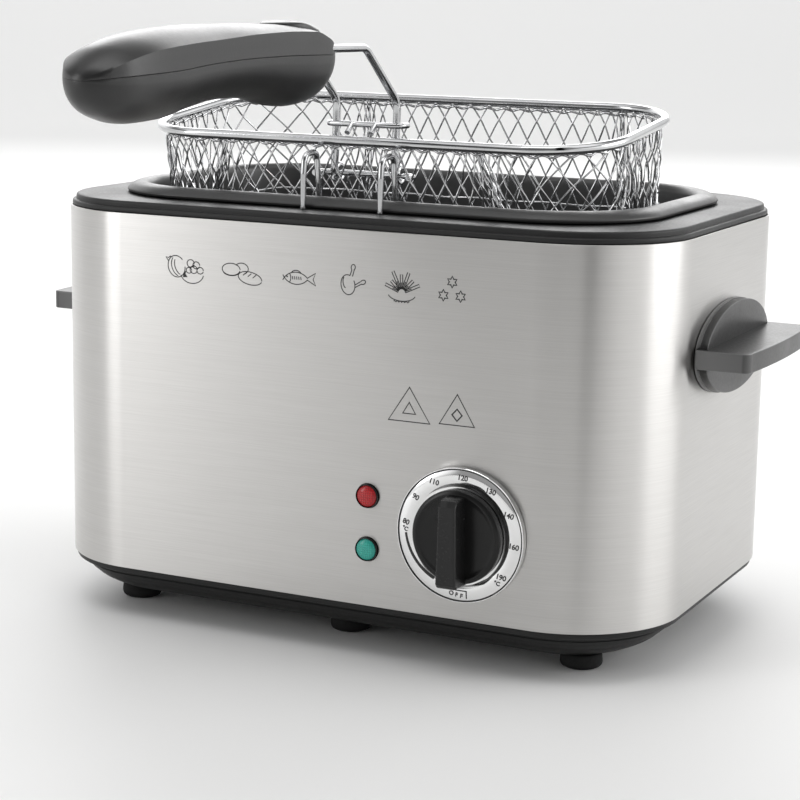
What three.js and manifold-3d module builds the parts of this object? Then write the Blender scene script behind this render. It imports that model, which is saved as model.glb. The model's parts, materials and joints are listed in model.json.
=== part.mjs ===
// A compact electric deep fryer with its wire basket hooked over the pot to drain.
// Millimetres, +Z up. The dial is on the front, -Y; the side handles are at -X and +X.
// Heights count from the surface the feet stand on. Depths count from the middle of the housing,
// and the last lines move everything so that the origin is under the middle of the whole object.
import * as THREE from "three";
import { mergeVertices } from "three/addons/utils/BufferGeometryUtils.js";
import Module from "manifold-3d";

// ---- driving dimensions ----

const gap = 0.3; // between neighbours that touch
const cornerSteps = 6; // facets round a quarter of a rounded corner

const body = { width: 260, depth: 175, corner: 44 }; // outline of the steel wrap
const shell = { bottom: 20, top: 161.2, wall: 0.8 };
const tray = { bottom: 6, floor: 2.5, flatInset: 21 };
const trayBowl = [[18, 6.7], [12.5, 9], [7.5, 12.5], [5, 15.5], [4.4, 17.2]]; // inset, height
const foot = { radius: 8.2, xs: [-97, 0, 97], y: 57, stem: 2.6, hole: 2.9 };
const baseScrew = { x: 105, y: 28, shaft: 1.6, bore: 1.95, head: 3.4, top: 30 };

const deck = { top: 165.6, step: 163.5, thickness: 2.6, skirt: 155 };
const pot = { width: 207, depth: 124.6, corner: 36, wall: 1.5, floor: 50, rim: 170.2 };
const potLip = { width: 226.5, depth: 141.2, corner: 42, edge: 166 };
const potOpening = { width: 214, depth: 131.6, corner: 39.6 }; // hole in the deck under the lip

const sideHandle = { boss: 39, bossHeight: 17.3, face: 134.8, reach: 153, half: 40 };
const sidePlate = { low: 113, high: 120.2, bow: 1.6, corner: 3.5 };
const sideScrew = { y: 22, shaft: 1.5, hole: 2.2, pilot: 1.9, head: 3.5 };

const dial = { x: 60.9, z: 52.9, bezel: 25.2, knob: 17.5, bar: 7.2, reach: 102.5 };
const spindle = { radius: 3, hole: 3.4, shellHole: 5 };
const plateScrew = { spacing: 28, shaft: 1.4, hole: 1.9, head: 2.8 };
const lamp = { x: 22, powerZ: 62.5, readyZ: 42.1, lens: 3.6, barrel: 4.4, flange: 4.9 };

const basketRim = { width: 196, depth: 96, corner: 30, wire: 1.9, x: 0.6, y: -13, z: 196.5 };
const basketTilt = THREE.MathUtils.degToRad(6.56); // the handle's weight lifts the far side
const basketWall = { thickness: 1.6, top: -2.6, bottom: -77, taper: 3 };
const hook = { x: 1.6, spread: 16.2, wire: 1.15, back: -61, front: -72.1, top: 186.9, lowEnd: 148 };
const handlePin = { x: 1.4, y: -50, z: 178, half: 20, wire: 1.2 }; // the cross wire the handle folds about
const handle = { leg: 12.7, wire: 1.5, shoulderY: -76, level: 226.6, gripY: -108 };
const grip = { outer: -240, inner: -92, half: 15, round: 5 };

const element = { radius: 3.25, halfWidth: 75, halfDepth: 36, bend: 14 };
const shield = { width: 190, depth: 104, corner: 28, z: 33, lip: 29 };
const bulb = { radius: 3, length: 56, y: -16 };
const gland = { x: -72, z: 38, hole: 7, back: 94 };
const block = { x: -60, y: 51, width: 40, depth: 14, low: 8.9, high: 22 };

// ---- finishes ----

const finish = (color, roughness, metalness) =>
  new THREE.MeshStandardMaterial({ color, roughness, metalness });
const brushedSteel = finish(0xc9c6c0, 0.35, 1);
const chromeWire = finish(0xd6d8da, 0.12, 1);
const platedSteel = finish(0xa9abac, 0.45, 1);
const brass = finish(0xb9924b, 0.4, 1);
const copper = finish(0xb87350, 0.4, 1);
const blackPlastic = finish(0x1b1b1c, 0.55, 0);
const gripPlastic = finish(0x161617, 0.45, 0);
const nonStick = finish(0x202124, 0.5, 0.2);
const rubber = finish(0x121212, 0.9, 0);
const whitePolymer = finish(0xe6e2d6, 0.5, 0);
const redLens = finish(0xa8161c, 0.2, 0);
const greenLens = finish(0x2b9c8a, 0.2, 0);
const brownSleeve = finish(0x5c3521, 0.6, 0);
const blueSleeve = finish(0x2b5fa5, 0.6, 0);
const earthSleeve = finish(0x9fae2c, 0.6, 0);

// ---- geometry helpers ----

const wasm = await Module();
wasm.setup();

// A closed geometry as a manifold-3d solid whose faces point outwards.
function solid(geometry) {
  const bare = geometry.clone();
  bare.deleteAttribute("normal");
  bare.deleteAttribute("uv");
  const merged = mergeVertices(bare, 1e-4);
  const corners = Array.from(merged.index.array);
  const triangles = [];
  for (let i = 0; i < corners.length; i += 3) {
    const [a, b, c] = corners.slice(i, i + 3);
    if (a !== b && b !== c && c !== a) triangles.push(a, b, c);
  }
  const build = (triVerts) =>
    new wasm.Manifold(
      new wasm.Mesh({
        numProp: 3,
        vertProperties: new Float32Array(merged.attributes.position.array),
        triVerts: new Uint32Array(triVerts),
      }),
    );
  const made = build(triangles);
  return made.volume() >= 0 ? made : build(triangles.reverse());
}

const join = (first, ...others) => others.reduce((sum, next) => sum.add(next), first);
const cut = (first, ...others) => others.reduce((rest, next) => rest.subtract(next), first);

function geometryOf(made) {
  const mesh = made.getMesh();
  return new THREE.BufferGeometry()
    .setAttribute("position", new THREE.BufferAttribute(mesh.vertProperties, 3))
    .setIndex(new THREE.BufferAttribute(mesh.triVerts, 1));
}

// The same outline, smaller all round by `amount`.
const inset = (size, amount) => ({
  width: size.width - 2 * amount,
  depth: size.depth - 2 * amount,
  corner: size.corner - amount,
});

// The points of a rounded rectangle at height z, the same number for every size.
function outlineAt(size, z) {
  const points = [];
  for (let quarter = 0; quarter < 4; quarter++) {
    const signX = quarter === 0 || quarter === 3 ? 1 : -1;
    const signY = quarter < 2 ? 1 : -1;
    for (let step = 0; step <= cornerSteps; step++) {
      const angle = ((quarter + step / cornerSteps) * Math.PI) / 2;
      const x = signX * (size.width / 2 - size.corner) + size.corner * Math.cos(angle);
      const y = signY * (size.depth / 2 - size.corner) + size.corner * Math.sin(angle);
      points.push(new THREE.Vector3(x, y, z));
    }
  }
  return points;
}

// Skins a wall over outlines, each given as [size, z]. An open stack is capped at both ends;
// a closed one joins its last outline to its first, as a ring does.
function stack(levels, closed = false) {
  const rings = levels.map(([size, z]) => outlineAt(size, z));
  const around = rings[0].length;
  const last = (rings.length - 1) * around;
  const index = [];
  for (let band = 0; band < (closed ? rings.length : rings.length - 1); band++) {
    const low = band * around;
    const high = ((band + 1) % rings.length) * around;
    for (let i = 0; i < around; i++) {
      const next = (i + 1) % around;
      index.push(low + i, low + next, high + next, low + i, high + next, high + i);
    }
  }
  for (let i = 1; i < around - 1 && !closed; i++)
    index.push(0, i + 1, i, last, last + i, last + i + 1);
  const positions = rings.flat().flatMap((point) => point.toArray());
  return solid(
    new THREE.BufferGeometry()
      .setAttribute("position", new THREE.Float32BufferAttribute(positions, 3))
      .setIndex(index),
  );
}

// Turned parts. A profile is [radius, height] pairs that start and end on the axis, or close.
const lathe = (profile, steps = 24) =>
  new THREE.LatheGeometry(
    profile.map(([radius, height]) => new THREE.Vector2(radius, height)),
    steps,
  );
const turnedUp = (profile, steps) => lathe(profile, steps).rotateX(Math.PI / 2);
const turnedSide = (profile, steps) => lathe(profile, steps).rotateZ(-Math.PI / 2);
const closedProfile = (profile) => [...profile, profile[0]];
const rod = (radius, low, high) => [
  [0, low],
  [radius, low],
  [radius, high],
  [0, high],
];

// Flat shapes pulled out along X, from a drawing in the Y-Z plane.
const alongX = new THREE.Matrix4().makeBasis(
  new THREE.Vector3(0, 1, 0),
  new THREE.Vector3(0, 0, 1),
  new THREE.Vector3(1, 0, 0),
);
const pulledX = (shape, low, high, curveSegments = 10) =>
  new THREE.ExtrudeGeometry(shape, { depth: high - low, bevelEnabled: false, curveSegments })
    .applyMatrix4(alongX)
    .translate(low, 0, 0);
const pulledZ = (shape, low, high, curveSegments = 10) =>
  new THREE.ExtrudeGeometry(shape, { depth: high - low, bevelEnabled: false, curveSegments })
    .translate(0, 0, low);

const vector = (x, y, z) => new THREE.Vector3(x, y, z);
const flatShape = (pairs) => new THREE.Shape(pairs.map(([a, b]) => new THREE.Vector2(a, b)));
const box = (low, high) =>
  new THREE.BoxGeometry(high[0] - low[0], high[1] - low[1], high[2] - low[2]).translate(
    (low[0] + high[0]) / 2,
    (low[1] + high[1]) / 2,
    (low[2] + high[2]) / 2,
  );

// A wire's centre line through given points, sampled exactly at them.
class WireLine extends THREE.Curve {
  constructor(points) {
    super();
    this.points = points;
  }
  getPoint(t, target = new THREE.Vector3()) {
    const place = t * (this.points.length - 1);
    const i = Math.min(Math.floor(place), this.points.length - 2);
    return target.lerpVectors(this.points[i], this.points[i + 1], place - i);
  }
  getPointAt(t, target) {
    return this.getPoint(t, target);
  }
  getTangentAt(t, target) {
    return this.getTangent(t, target);
  }
}

// Straight runs between corner points, with each corner rounded over the length `bend`.
function bentPoints(corners, bend, steps = 3) {
  const points = [corners[0]];
  for (let i = 1; i < corners.length - 1; i++) {
    const [start, end] = [corners[i - 1], corners[i + 1]].map((next) =>
      corners[i].clone().lerp(next, bend / corners[i].distanceTo(next)),
    );
    points.push(...new THREE.QuadraticBezierCurve3(start, corners[i], end).getPoints(steps));
  }
  points.push(corners.at(-1));
  return points;
}

function wire(points, radius, sides = 6) {
  const section = new THREE.Shape().absarc(0, 0, radius, 0, 2 * Math.PI);
  return new THREE.ExtrudeGeometry(section, {
    extrudePath: new WireLine(points),
    steps: points.length - 1,
    curveSegments: sides / 2,
  });
}

const fryer = new THREE.Group();
function add(name, made, material, parent = fryer) {
  const geometry = made.isBufferGeometry ? geometryOf(solid(made)) : geometryOf(made);
  const mesh = new THREE.Mesh(geometry, material);
  mesh.name = name;
  parent.add(mesh);
  return mesh;
}
const mirrored = [
  ["left", -1],
  ["right", 1],
];

// ---- housing ----

const front = -body.depth / 2;
const side = body.width / 2;
const inside = inset(body, shell.wall);

function buildShell() {
  const wrap = stack(
    [
      [body, shell.bottom],
      [body, shell.top],
      [inside, shell.top],
      [inside, shell.bottom],
    ],
    true,
  );
  const frontHole = (x, z, radius) =>
    solid(lathe(rod(radius, front - 2, front + 4)).translate(x, 0, z));
  const sideHole = (y, z) =>
    solid(turnedSide(rod(sideScrew.hole, -side - 2, side + 2), 12).translate(0, y, z));
  const handleMiddle = (sidePlate.low + sidePlate.high) / 2;
  add(
    "outer_shell",
    cut(
      wrap,
      frontHole(lamp.x, lamp.powerZ, lamp.barrel + 0.4),
      frontHole(lamp.x, lamp.readyZ, lamp.barrel + 0.4),
      frontHole(dial.x, dial.z, spindle.shellHole),
      frontHole(dial.x - plateScrew.spacing / 2, dial.z, plateScrew.hole),
      frontHole(dial.x + plateScrew.spacing / 2, dial.z, plateScrew.hole),
      sideHole(sideScrew.y, handleMiddle),
      sideHole(-sideScrew.y, handleMiddle),
      solid(lathe(rod(gland.hole, -front - 4, -front + 2)).translate(gland.x, 0, gland.z)),
    ),
    brushedSteel,
  );
}

function buildTopFrame() {
  const outer = inset(body, 1);
  const groove = inset(body, 1.8);
  const edge = inset(body, 2.4);
  const skirtOuter = inset(body, 1.4);
  const skirtInner = inset(body, 3.6);
  const collar = inset(potOpening, -2.4);
  const under = deck.top - deck.thickness;
  const frame = stack(
    [
      [outer, shell.top + gap],
      [outer, deck.step - 0.2],
      [groove, deck.step + 0.2],
      [groove, deck.top - 0.6],
      [edge, deck.top],
      [potOpening, deck.top],
      [potOpening, deck.skirt],
      [collar, deck.skirt],
      [collar, under],
      [skirtInner, under],
      [skirtInner, deck.skirt],
      [skirtOuter, deck.skirt],
      [skirtOuter, shell.top + gap],
    ],
    true,
  );
  add("top_frame", frame, blackPlastic);
}

function buildTray() {
  const flange = inset(body, 1);
  const rib = inset(body, 1.7);
  const flat = inset(body, tray.flatInset);
  const underRim = shell.bottom - gap;
  const base = stack([
    [flat, tray.bottom],
    ...trayBowl.map(([amount, z]) => [inset(body, amount), z]),
    [flange, shell.bottom - 2.4],
    [flange, underRim],
    [rib, underRim],
    [rib, shell.bottom + 4],
    [inset(rib, 2), shell.bottom + 4],
    [inset(rib, 2), shell.bottom - 0.4],
    [inset(body, 7.5), shell.bottom - 1.4],
    [inset(body, 10.5), 13],
    [inset(body, 15.5), 10],
    [flat, tray.bottom + tray.floor],
  ]);
  const pillars = [];
  const holes = [];
  for (const x of [-baseScrew.x, baseScrew.x])
    for (const y of [-baseScrew.y, baseScrew.y]) {
      pillars.push(solid(turnedUp(rod(4.6, tray.bottom + 0.5, 25.4), 16).translate(x, y, 0)));
      holes.push(solid(turnedUp(rod(baseScrew.bore, 0, baseScrew.top), 12).translate(x, y, 0)));
    }
  for (const x of foot.xs)
    for (const y of [-foot.y, foot.y])
      holes.push(solid(turnedUp(rod(foot.hole, 0, 12), 12).translate(x, y, 0)));
  const slot = { halfWidth: 13, halfDepth: 1.5, y: 30, spacing: 34 };
  for (const y of [-slot.y, slot.y])
    for (const x of [-slot.spacing, 0, slot.spacing]) {
      const low = [x - slot.halfWidth, y - slot.halfDepth, 0];
      holes.push(solid(box(low, [x + slot.halfWidth, y + slot.halfDepth, 12])));
    }
  add("base_tray", cut(join(base, ...pillars), ...holes), blackPlastic);

  const footNames = ["left", "middle", "right"];
  const footProfile = [
    [0, 0],
    [foot.radius - 1.2, 0],
    [foot.radius, 1.2],
    [foot.radius - 0.6, tray.bottom - gap],
    [foot.stem, tray.bottom - gap],
    [foot.stem, 8.8],
    [3.7, 9],
    [1.6, 11.5],
    [0, 11.5],
  ];
  foot.xs.forEach((x, i) => {
    for (const [row, y] of [["front", -foot.y], ["rear", foot.y]])
      add(`foot_${row}_${footNames[i]}`, turnedUp(footProfile, 14).translate(x, y, 0), rubber);
  });
}

// Two folded strips inside the wrap take the screws that hold the tray.
function buildBaseFixings() {
  const sheet = 1.2;
  for (const [name, sign] of mirrored) {
    const outerX = side - shell.wall - 2.6;
    const strip = join(
      solid(box([outerX - sheet, -38, 26], [outerX, 38, 44])),
      solid(box([baseScrew.x - 7, -38, 26], [outerX, 38, 26 + sheet])),
    );
    const holes = [-baseScrew.y, baseScrew.y].map((y) =>
      solid(turnedUp(rod(baseScrew.bore, 20, 34), 12).translate(baseScrew.x, y, 0)),
    );
    const bracket = geometryOf(cut(strip, ...holes));
    if (sign < 0) bracket.rotateZ(Math.PI);
    add(`base_bracket_${name}`, bracket, platedSteel);
    for (const [end, y] of [["front", -baseScrew.y], ["rear", baseScrew.y]]) {
      const profile = [
        [0, 3.4],
        [baseScrew.head, 3.4],
        [baseScrew.head, tray.bottom - gap],
        [baseScrew.shaft, tray.bottom - gap],
        [baseScrew.shaft, baseScrew.top],
        [0, baseScrew.top],
      ];
      const screw = turnedUp(profile, 12).translate(sign * baseScrew.x, y, 0);
      add(`base_screw_${name}_${end}`, screw, platedSteel);
    }
  }
}

// An oval boss on the wall carries a flat grip plate with a slightly bowed outer edge.
function buildSideHandles() {
  const middle = (sidePlate.low + sidePlate.high) / 2;
  const oval = (grow) => {
    const { boss, bossHeight } = sideHandle;
    return new THREE.Shape().absellipse(0, middle, boss + grow, bossHeight + grow, 0, 2 * Math.PI);
  };
  const start = side + gap;
  const plan = new THREE.Shape();
  const { reach, half } = sideHandle;
  const { bow, corner } = sidePlate;
  const squareX = reach - bow;
  plan.moveTo(start, -half);
  plan.lineTo(squareX - corner, -half);
  plan.quadraticCurveTo(squareX, -half, squareX, -half + corner);
  plan.quadraticCurveTo(reach + bow, 0, squareX, half - corner);
  plan.quadraticCurveTo(squareX, half, squareX - corner, half);
  plan.lineTo(start, half);
  const moulding = cut(
    join(
      solid(pulledX(oval(0.3), start, start + 1.6, 16)),
      solid(pulledX(oval(0), start + 1, sideHandle.face, 16)),
      solid(pulledZ(plan, sidePlate.low, sidePlate.high)),
    ),
    ...[-sideScrew.y, sideScrew.y].map((y) =>
      solid(turnedSide(rod(sideScrew.pilot, start - 1, start + 9), 12).translate(0, y, middle)),
    ),
  );
  for (const [name, sign] of mirrored) {
    const geometry = geometryOf(moulding);
    if (sign < 0) geometry.rotateZ(Math.PI);
    add(`side_handle_${name}`, geometry, blackPlastic);
    const wallInside = side - shell.wall;
    const profile = [
      [0, wallInside - 2.6],
      [sideScrew.head, wallInside - 2.3],
      [sideScrew.head, wallInside - gap],
      [sideScrew.shaft, wallInside - gap],
      [sideScrew.shaft, start + 8],
      [0, start + 8],
    ];
    for (const [end, y] of [["front", -sideScrew.y], ["rear", sideScrew.y]]) {
      const screw = turnedSide(profile, 12).translate(0, sign * y, middle);
      if (sign < 0) screw.rotateZ(Math.PI);
      add(`side_screw_${name}_${end}`, screw, platedSteel);
    }
  }
}

// ---- pot and what heats it ----

function buildPot() {
  const outer = inset(pot, -pot.wall);
  const lip = stack([
    [inset(pot, 9), pot.floor - pot.wall],
    [inset(pot, 2.5), pot.floor + 0.6],
    [inset(pot, -0.5), pot.floor + 6],
    [outer, pot.floor + 11],
    [outer, potLip.edge + 0.9],
    [inset(potLip, 1.5), potLip.edge + 0.9],
    [inset(potLip, 0.6), potLip.edge],
    [potLip, potLip.edge + 0.8],
    [inset(potLip, 0.9), potLip.edge + 2.5],
    [inset(potLip, 3.4), pot.rim - 0.5],
    [{ width: 213, depth: 129.8, corner: 38.4 }, pot.rim],
    [{ width: 209.6, depth: 126.9, corner: 37.2 }, pot.rim - 1.3],
    [inset(pot, -0.3), pot.rim - 4.4],
    [pot, pot.rim - 8],
    [pot, pot.floor + 12],
    [inset(pot, 2.2), pot.floor + 5.5],
    [inset(pot, 5), pot.floor + 1.6],
    [inset(pot, 10), pot.floor],
  ]);
  add("oil_pot", lip, nonStick);
}

const potUnder = pot.floor - pot.wall;

function buildHeating() {
  const z = potUnder - gap - element.radius;
  const loop = [
    vector(-14, 52, 30),
    vector(-14, element.halfDepth, z),
    vector(-element.halfWidth, element.halfDepth, z),
    vector(-element.halfWidth, -element.halfDepth, z),
    vector(element.halfWidth, -element.halfDepth, z),
    vector(element.halfWidth, element.halfDepth, z),
    vector(14, element.halfDepth, z),
    vector(14, 52, 30),
  ];
  add("heating_element", wire(bentPoints(loop, element.bend), element.radius, 8), platedSteel);

  const barTop = z - element.radius - gap;
  const stud = { radius: 2.5, hole: 2.9, low: 26 };
  const bore = () => solid(turnedUp(rod(stud.hole, 20, 60), 12));
  const bar = solid(box([-86, -7, barTop - 2], [86, 7, barTop]));
  add("element_clamp_bar", cut(bar, bore()), platedSteel);

  const plate = stack([
    [inset(shield, 1), shield.z],
    [shield, shield.z - 1],
    [shield, shield.lip],
    [inset(shield, 1), shield.lip],
    [inset(shield, 1.2), shield.z - 1.6],
    [inset(shield, 4), shield.z - 1.6],
  ].reverse());
  const pinRoom = solid(box([-22, 40, 20], [22, 60, 40]));
  add("heat_shield", cut(plate, bore(), pinRoom), platedSteel);

  const studProfile = [
    [0, stud.low],
    [4.6, stud.low],
    [4.6, shield.z - 1.6 - gap],
    [stud.radius, shield.z - 1.6 - gap],
    [stud.radius, potUnder - gap],
    [0, potUnder - gap],
  ];
  add("clamp_screw", turnedUp(studProfile, 12), platedSteel);

  const cutout = [
    [0, barTop - 4],
    [3, barTop - 4],
    [3, barTop - 1],
    [8, barTop - 1],
    [8, potUnder - gap],
    [0, potUnder - gap],
  ];
  add("thermal_cutout", turnedUp(cutout, 20).translate(34, 17, 0), whitePolymer);
}

// ---- controls ----

const tabReach = 19; // from the dial's axis down to the ends of the thermostat's tabs

function buildDial() {
  const bezelProfile = closedProfile([
    [spindle.hole, front - 2.4],
    [22, front - 2.4],
    [22, front - gap],
    [dial.bezel, front - gap],
    [dial.bezel, front - 2.2],
    [24.4, front - 3.2],
    [23.2, front - 3.3],
    [22.6, front - 2.8],
    [spindle.hole, front - 3],
  ]);
  // The face is 0.4 to 0.6 thick; its hollow back clears the plate screws.
  const bezel = lathe(bezelProfile, 32).translate(dial.x, 0, dial.z);
  add("dial_bezel", bezel, chromeWire);

  const discBack = front - 3.4;
  const disc = solid(
    lathe(
      [
        [0, discBack],
        [dial.knob, discBack],
        [dial.knob, discBack - 2.6],
        [dial.knob - 1.4, discBack - 3.6],
        [5, discBack - 4.2],
        [0, discBack - 4.2],
      ],
      32,
    ),
  );
  const barShape = flatShape([
    [discBack - 1, 15.6],
    [discBack - 7, 15.6],
    [-dial.reach + 1.4, 14.8],
    [-dial.reach, 13],
    [-dial.reach, -16.4],
    [-dial.reach + 1.2, -17.6],
    [discBack - 1, -17.6],
  ]);
  const bar = solid(pulledX(barShape, -dial.bar / 2, dial.bar / 2));
  const bore = solid(lathe(rod(spindle.radius + gap, discBack - 8, discBack + 1), 16));
  const knob = geometryOf(cut(join(disc, bar), bore)).translate(dial.x, 0, dial.z);
  add("temperature_knob", knob, gripPlastic);

  const bracketFront = front + shell.wall + gap;
  const bracketBack = bracketFront + 1;
  const switchFront = bracketBack + gap;
  const shaft = lathe(rod(spindle.radius, discBack - 7.6, switchFront - gap), 16);
  add("thermostat_spindle", shaft.translate(dial.x, 0, dial.z), brass);

  const half = plateScrew.spacing / 2;
  const screwHole = (x) =>
    solid(lathe(rod(plateScrew.hole, front, bracketBack + 2), 12).translate(x, 0, dial.z));
  const edge = half + 6;
  const bracketBox = box(
    [dial.x - edge, bracketFront, dial.z - 11],
    [dial.x + edge, bracketBack, dial.z + 11],
  );
  const bracket = cut(
    solid(bracketBox),
    screwHole(dial.x - half),
    screwHole(dial.x + half),
    solid(lathe(rod(spindle.hole, front, bracketBack + 2), 16).translate(dial.x, 0, dial.z)),
  );
  add("thermostat_bracket", bracket, platedSteel);
  for (const [name, sign] of mirrored) {
    const profile = [
      [0, front - 1.6],
      [plateScrew.head, front - 1.6],
      [plateScrew.head, front - gap],
      [plateScrew.shaft, front - gap],
      [plateScrew.shaft, bracketBack + 2],
      [0, bracketBack + 2],
    ];
    const screw = lathe(profile, 12).translate(dial.x + sign * half, 0, dial.z);
    add(`thermostat_screw_${name}`, screw, platedSteel);
  }
  const switchHalf = half - plateScrew.shaft - 0.8;
  const casing = box(
    [dial.x - switchHalf, switchFront, dial.z - 13],
    [dial.x + switchHalf, switchFront + 15, dial.z + 13],
  );
  const tabs = [-4, 2.4].map((x) =>
    solid(
      box(
        [dial.x + x, switchFront + 3, dial.z - tabReach],
        [dial.x + x + 1.6, switchFront + 9, dial.z - 12],
      ),
    ),
  );
  const thermostat = join(solid(casing), ...tabs);
  add("thermostat_body", thermostat, whitePolymer);
}

// The sensing bulb lies under the pot, joined to the thermostat by a thin copper tube.
function buildSensor() {
  const z = potUnder - gap - bulb.radius;
  const bulbEnd = bulb.length / 2;
  const nose = [
    [0, -bulbEnd],
    [bulb.radius, -bulbEnd + 1.5],
    [bulb.radius, bulbEnd - 2],
    [1.4, bulbEnd],
    [0, bulbEnd],
  ];
  add("sensor_bulb", turnedSide(nose, 12).translate(0, bulb.y, z), copper);
  const route = [
    vector(dial.x - 16, -71, 40),
    vector(dial.x - 20, -60, 37.6),
    vector(48, -36, 37.4),
    vector(44, -22, 39),
    vector(38, bulb.y, z),
    vector(bulbEnd + gap, bulb.y, z),
  ];
  add("capillary_tube", wire(bentPoints(route, 3), 0.8), copper);

  const clip = new THREE.Shape();
  const inner = bulb.radius + gap;
  const outer = inner + 0.9;
  const top = potUnder - gap;
  clip.moveTo(bulb.y - outer - 5, top);
  clip.lineTo(bulb.y - outer - 5, top - 0.9);
  clip.lineTo(bulb.y - outer, top - 0.9);
  clip.lineTo(bulb.y - outer, z);
  clip.absarc(bulb.y, z, outer, Math.PI, 2 * Math.PI, false);
  clip.lineTo(bulb.y + outer, top - 0.9);
  clip.lineTo(bulb.y + outer + 4, top - 0.9);
  clip.lineTo(bulb.y + outer + 4, top);
  clip.lineTo(bulb.y + inner, top);
  clip.lineTo(bulb.y + inner, z);
  clip.absarc(bulb.y, z, inner, 2 * Math.PI, Math.PI, true);
  clip.lineTo(bulb.y - inner, top);
  add("sensor_clip", pulledX(clip, -6, 6, 6), platedSteel);
}

function buildLamps() {
  for (const [name, z, colour] of [
    ["power", lamp.powerZ, redLens],
    ["ready", lamp.readyZ, greenLens],
  ]) {
    const sleeve = closedProfile([
      [lamp.lens + gap, front - 1.4],
      [lamp.flange - 0.5, front - 1.5],
      [lamp.flange, front - 1.1],
      [lamp.flange, front - gap],
      [lamp.barrel, front - gap],
      [lamp.barrel, front + 16],
      [1.6, front + 16],
      [1.6, front + 9],
      [lamp.lens + gap, front + 9],
    ]);
    add(`${name}_lamp_sleeve`, lathe(sleeve, 18).translate(lamp.x, 0, z), blackPlastic);
    const lens = [
      [0, front - 2.2],
      [1.6, front - 2.05],
      [2.8, front - 1.5],
      [lamp.lens, front - 0.5],
      [lamp.lens, front + 6],
      [0, front + 6],
    ];
    add(`${name}_lamp_lens`, lathe(lens, 18).translate(lamp.x, 0, z), colour);
  }
}

// ---- supply: the gland that the lead would come in by, and the wiring behind it ----

function buildSupply() {
  const back = body.depth / 2;
  const bore = 3.6;
  const profile = closedProfile([
    [bore, gland.back],
    [5, gland.back],
    [6, back + 3],
    [9, back + 2.6],
    [9, back + gap],
    [gland.hole - gap, back + gap],
    [gland.hole - gap, back - shell.wall - gap],
    [8.6, back - shell.wall - gap],
    [8.6, back - 3.4],
    [6, back - 7],
    [bore, back - 7],
  ]);
  add("cord_gland", lathe(profile, 16).translate(gland.x, 0, gland.z), rubber);

  const well = rod(2.4, block.high - 4, block.high + 2);
  const wells = [-12, 0, 12].map((x) =>
    solid(turnedUp(well, 12).translate(block.x + x, block.y, 0)),
  );
  const casing = box(
    [block.x - block.width / 2, block.y - block.depth / 2, block.low],
    [block.x + block.width / 2, block.y + block.depth / 2, block.high],
  );
  add("terminal_block", cut(solid(casing), ...wells), whitePolymer);

  const blockBack = block.y + block.depth / 2 + gap;
  const blockFront = block.y - block.depth / 2 - gap;
  const supply = [
    ["live_lead", -12, 0, -1.9, brownSleeve],
    ["neutral_lead", 0, 1.7, 1, blueSleeve],
  ];
  for (const [name, dx, offset, lift, sleeve] of supply) {
    const route = [
      vector(gland.x + offset, back - 3, gland.z + lift),
      vector(gland.x + offset, back - 14, gland.z + lift),
      vector(block.x + dx, block.y + 17, 15),
      vector(block.x + dx, blockBack, 15),
    ];
    add(name, wire(bentPoints(route, 5), 1.1), sleeve);
  }
  const earthRoute = [
    vector(gland.x - 1.7, back - 3, gland.z + 1),
    vector(gland.x - 1.7, back - 12, gland.z + 1),
    vector(-112, 52, 35),
    vector(-116, 38 + 2 * gap, 33),
  ];
  add("earth_lead", wire(bentPoints(earthRoute, 6), 1.1), earthSleeve);

  const pinZ = 27;
  const tabEnd = dial.z - tabReach - 2 * gap;
  const neutral = [
    vector(-14, 55, pinZ - 1),
    vector(-20, 54, 24),
    vector(-30, 40, 20),
    vector(block.x, 36, 15),
    vector(block.x, blockFront, 15),
  ];
  const live = [
    vector(14, 55, pinZ - 1),
    vector(24, 52, 22),
    vector(60, 30, 20),
    vector(dial.x + 3.2, -78, 22),
    vector(dial.x + 3.2, -79, tabEnd),
  ];
  const switched = [
    vector(dial.x - 3.2, -79, tabEnd),
    vector(dial.x - 3.2, -78, 22),
    vector(-40, -20, 20),
    vector(block.x - 12, 34, 15),
    vector(block.x - 12, blockFront, 15),
  ];
  const inner = [
    ["element_lead_neutral", neutral, blueSleeve],
    ["element_lead_live", live, brownSleeve],
    ["thermostat_lead", switched, brownSleeve],
  ];
  for (const [name, route, sleeve] of inner)
    add(name, wire(bentPoints(route, 4), 1.1), sleeve);
}

// ---- basket, drawn level and then tilted about the middle of its rim ----

function buildBasket() {
  const level = new THREE.Group();
  level.position.set(basketRim.x, basketRim.y, basketRim.z);
  level.rotation.x = basketTilt;
  fryer.add(level);

  const section = [];
  const facets = 6;
  for (let i = 0; i < facets; i++) {
    const angle = (2 * Math.PI * i) / facets;
    const outwards = basketRim.wire * Math.cos(angle);
    section.push([inset(basketRim, -outwards), basketRim.wire * Math.sin(angle)]);
  }
  add("basket_rim", stack(section, true), chromeWire, level);

  const wall = inset(basketRim, 0);
  const low = inset(wall, basketWall.taper);
  const { thickness, top, bottom } = basketWall;
  const mesh = stack([
    [inset(low, 7), bottom],
    [inset(low, 2), bottom + 2],
    [low, bottom + 7],
    [wall, top],
    [inset(wall, thickness), top],
    [inset(low, thickness), bottom + 7.4],
    [inset(low, thickness + 2.2), bottom + 3.4],
    [inset(low, 7 + thickness), bottom + thickness],
  ]);
  add("basket_mesh", mesh, chromeWire, level);
}

// How far forward the basket's front wall stands at a height, once tilted.
function frontWallY(z) {
  const drop = (basketRim.z - z) / Math.cos(basketTilt);
  const half = basketRim.depth / 2;
  const narrowed = (basketWall.taper * drop) / -basketWall.bottom;
  return basketRim.y - half / Math.cos(basketTilt) + drop * Math.sin(basketTilt) + narrowed;
}

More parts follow.
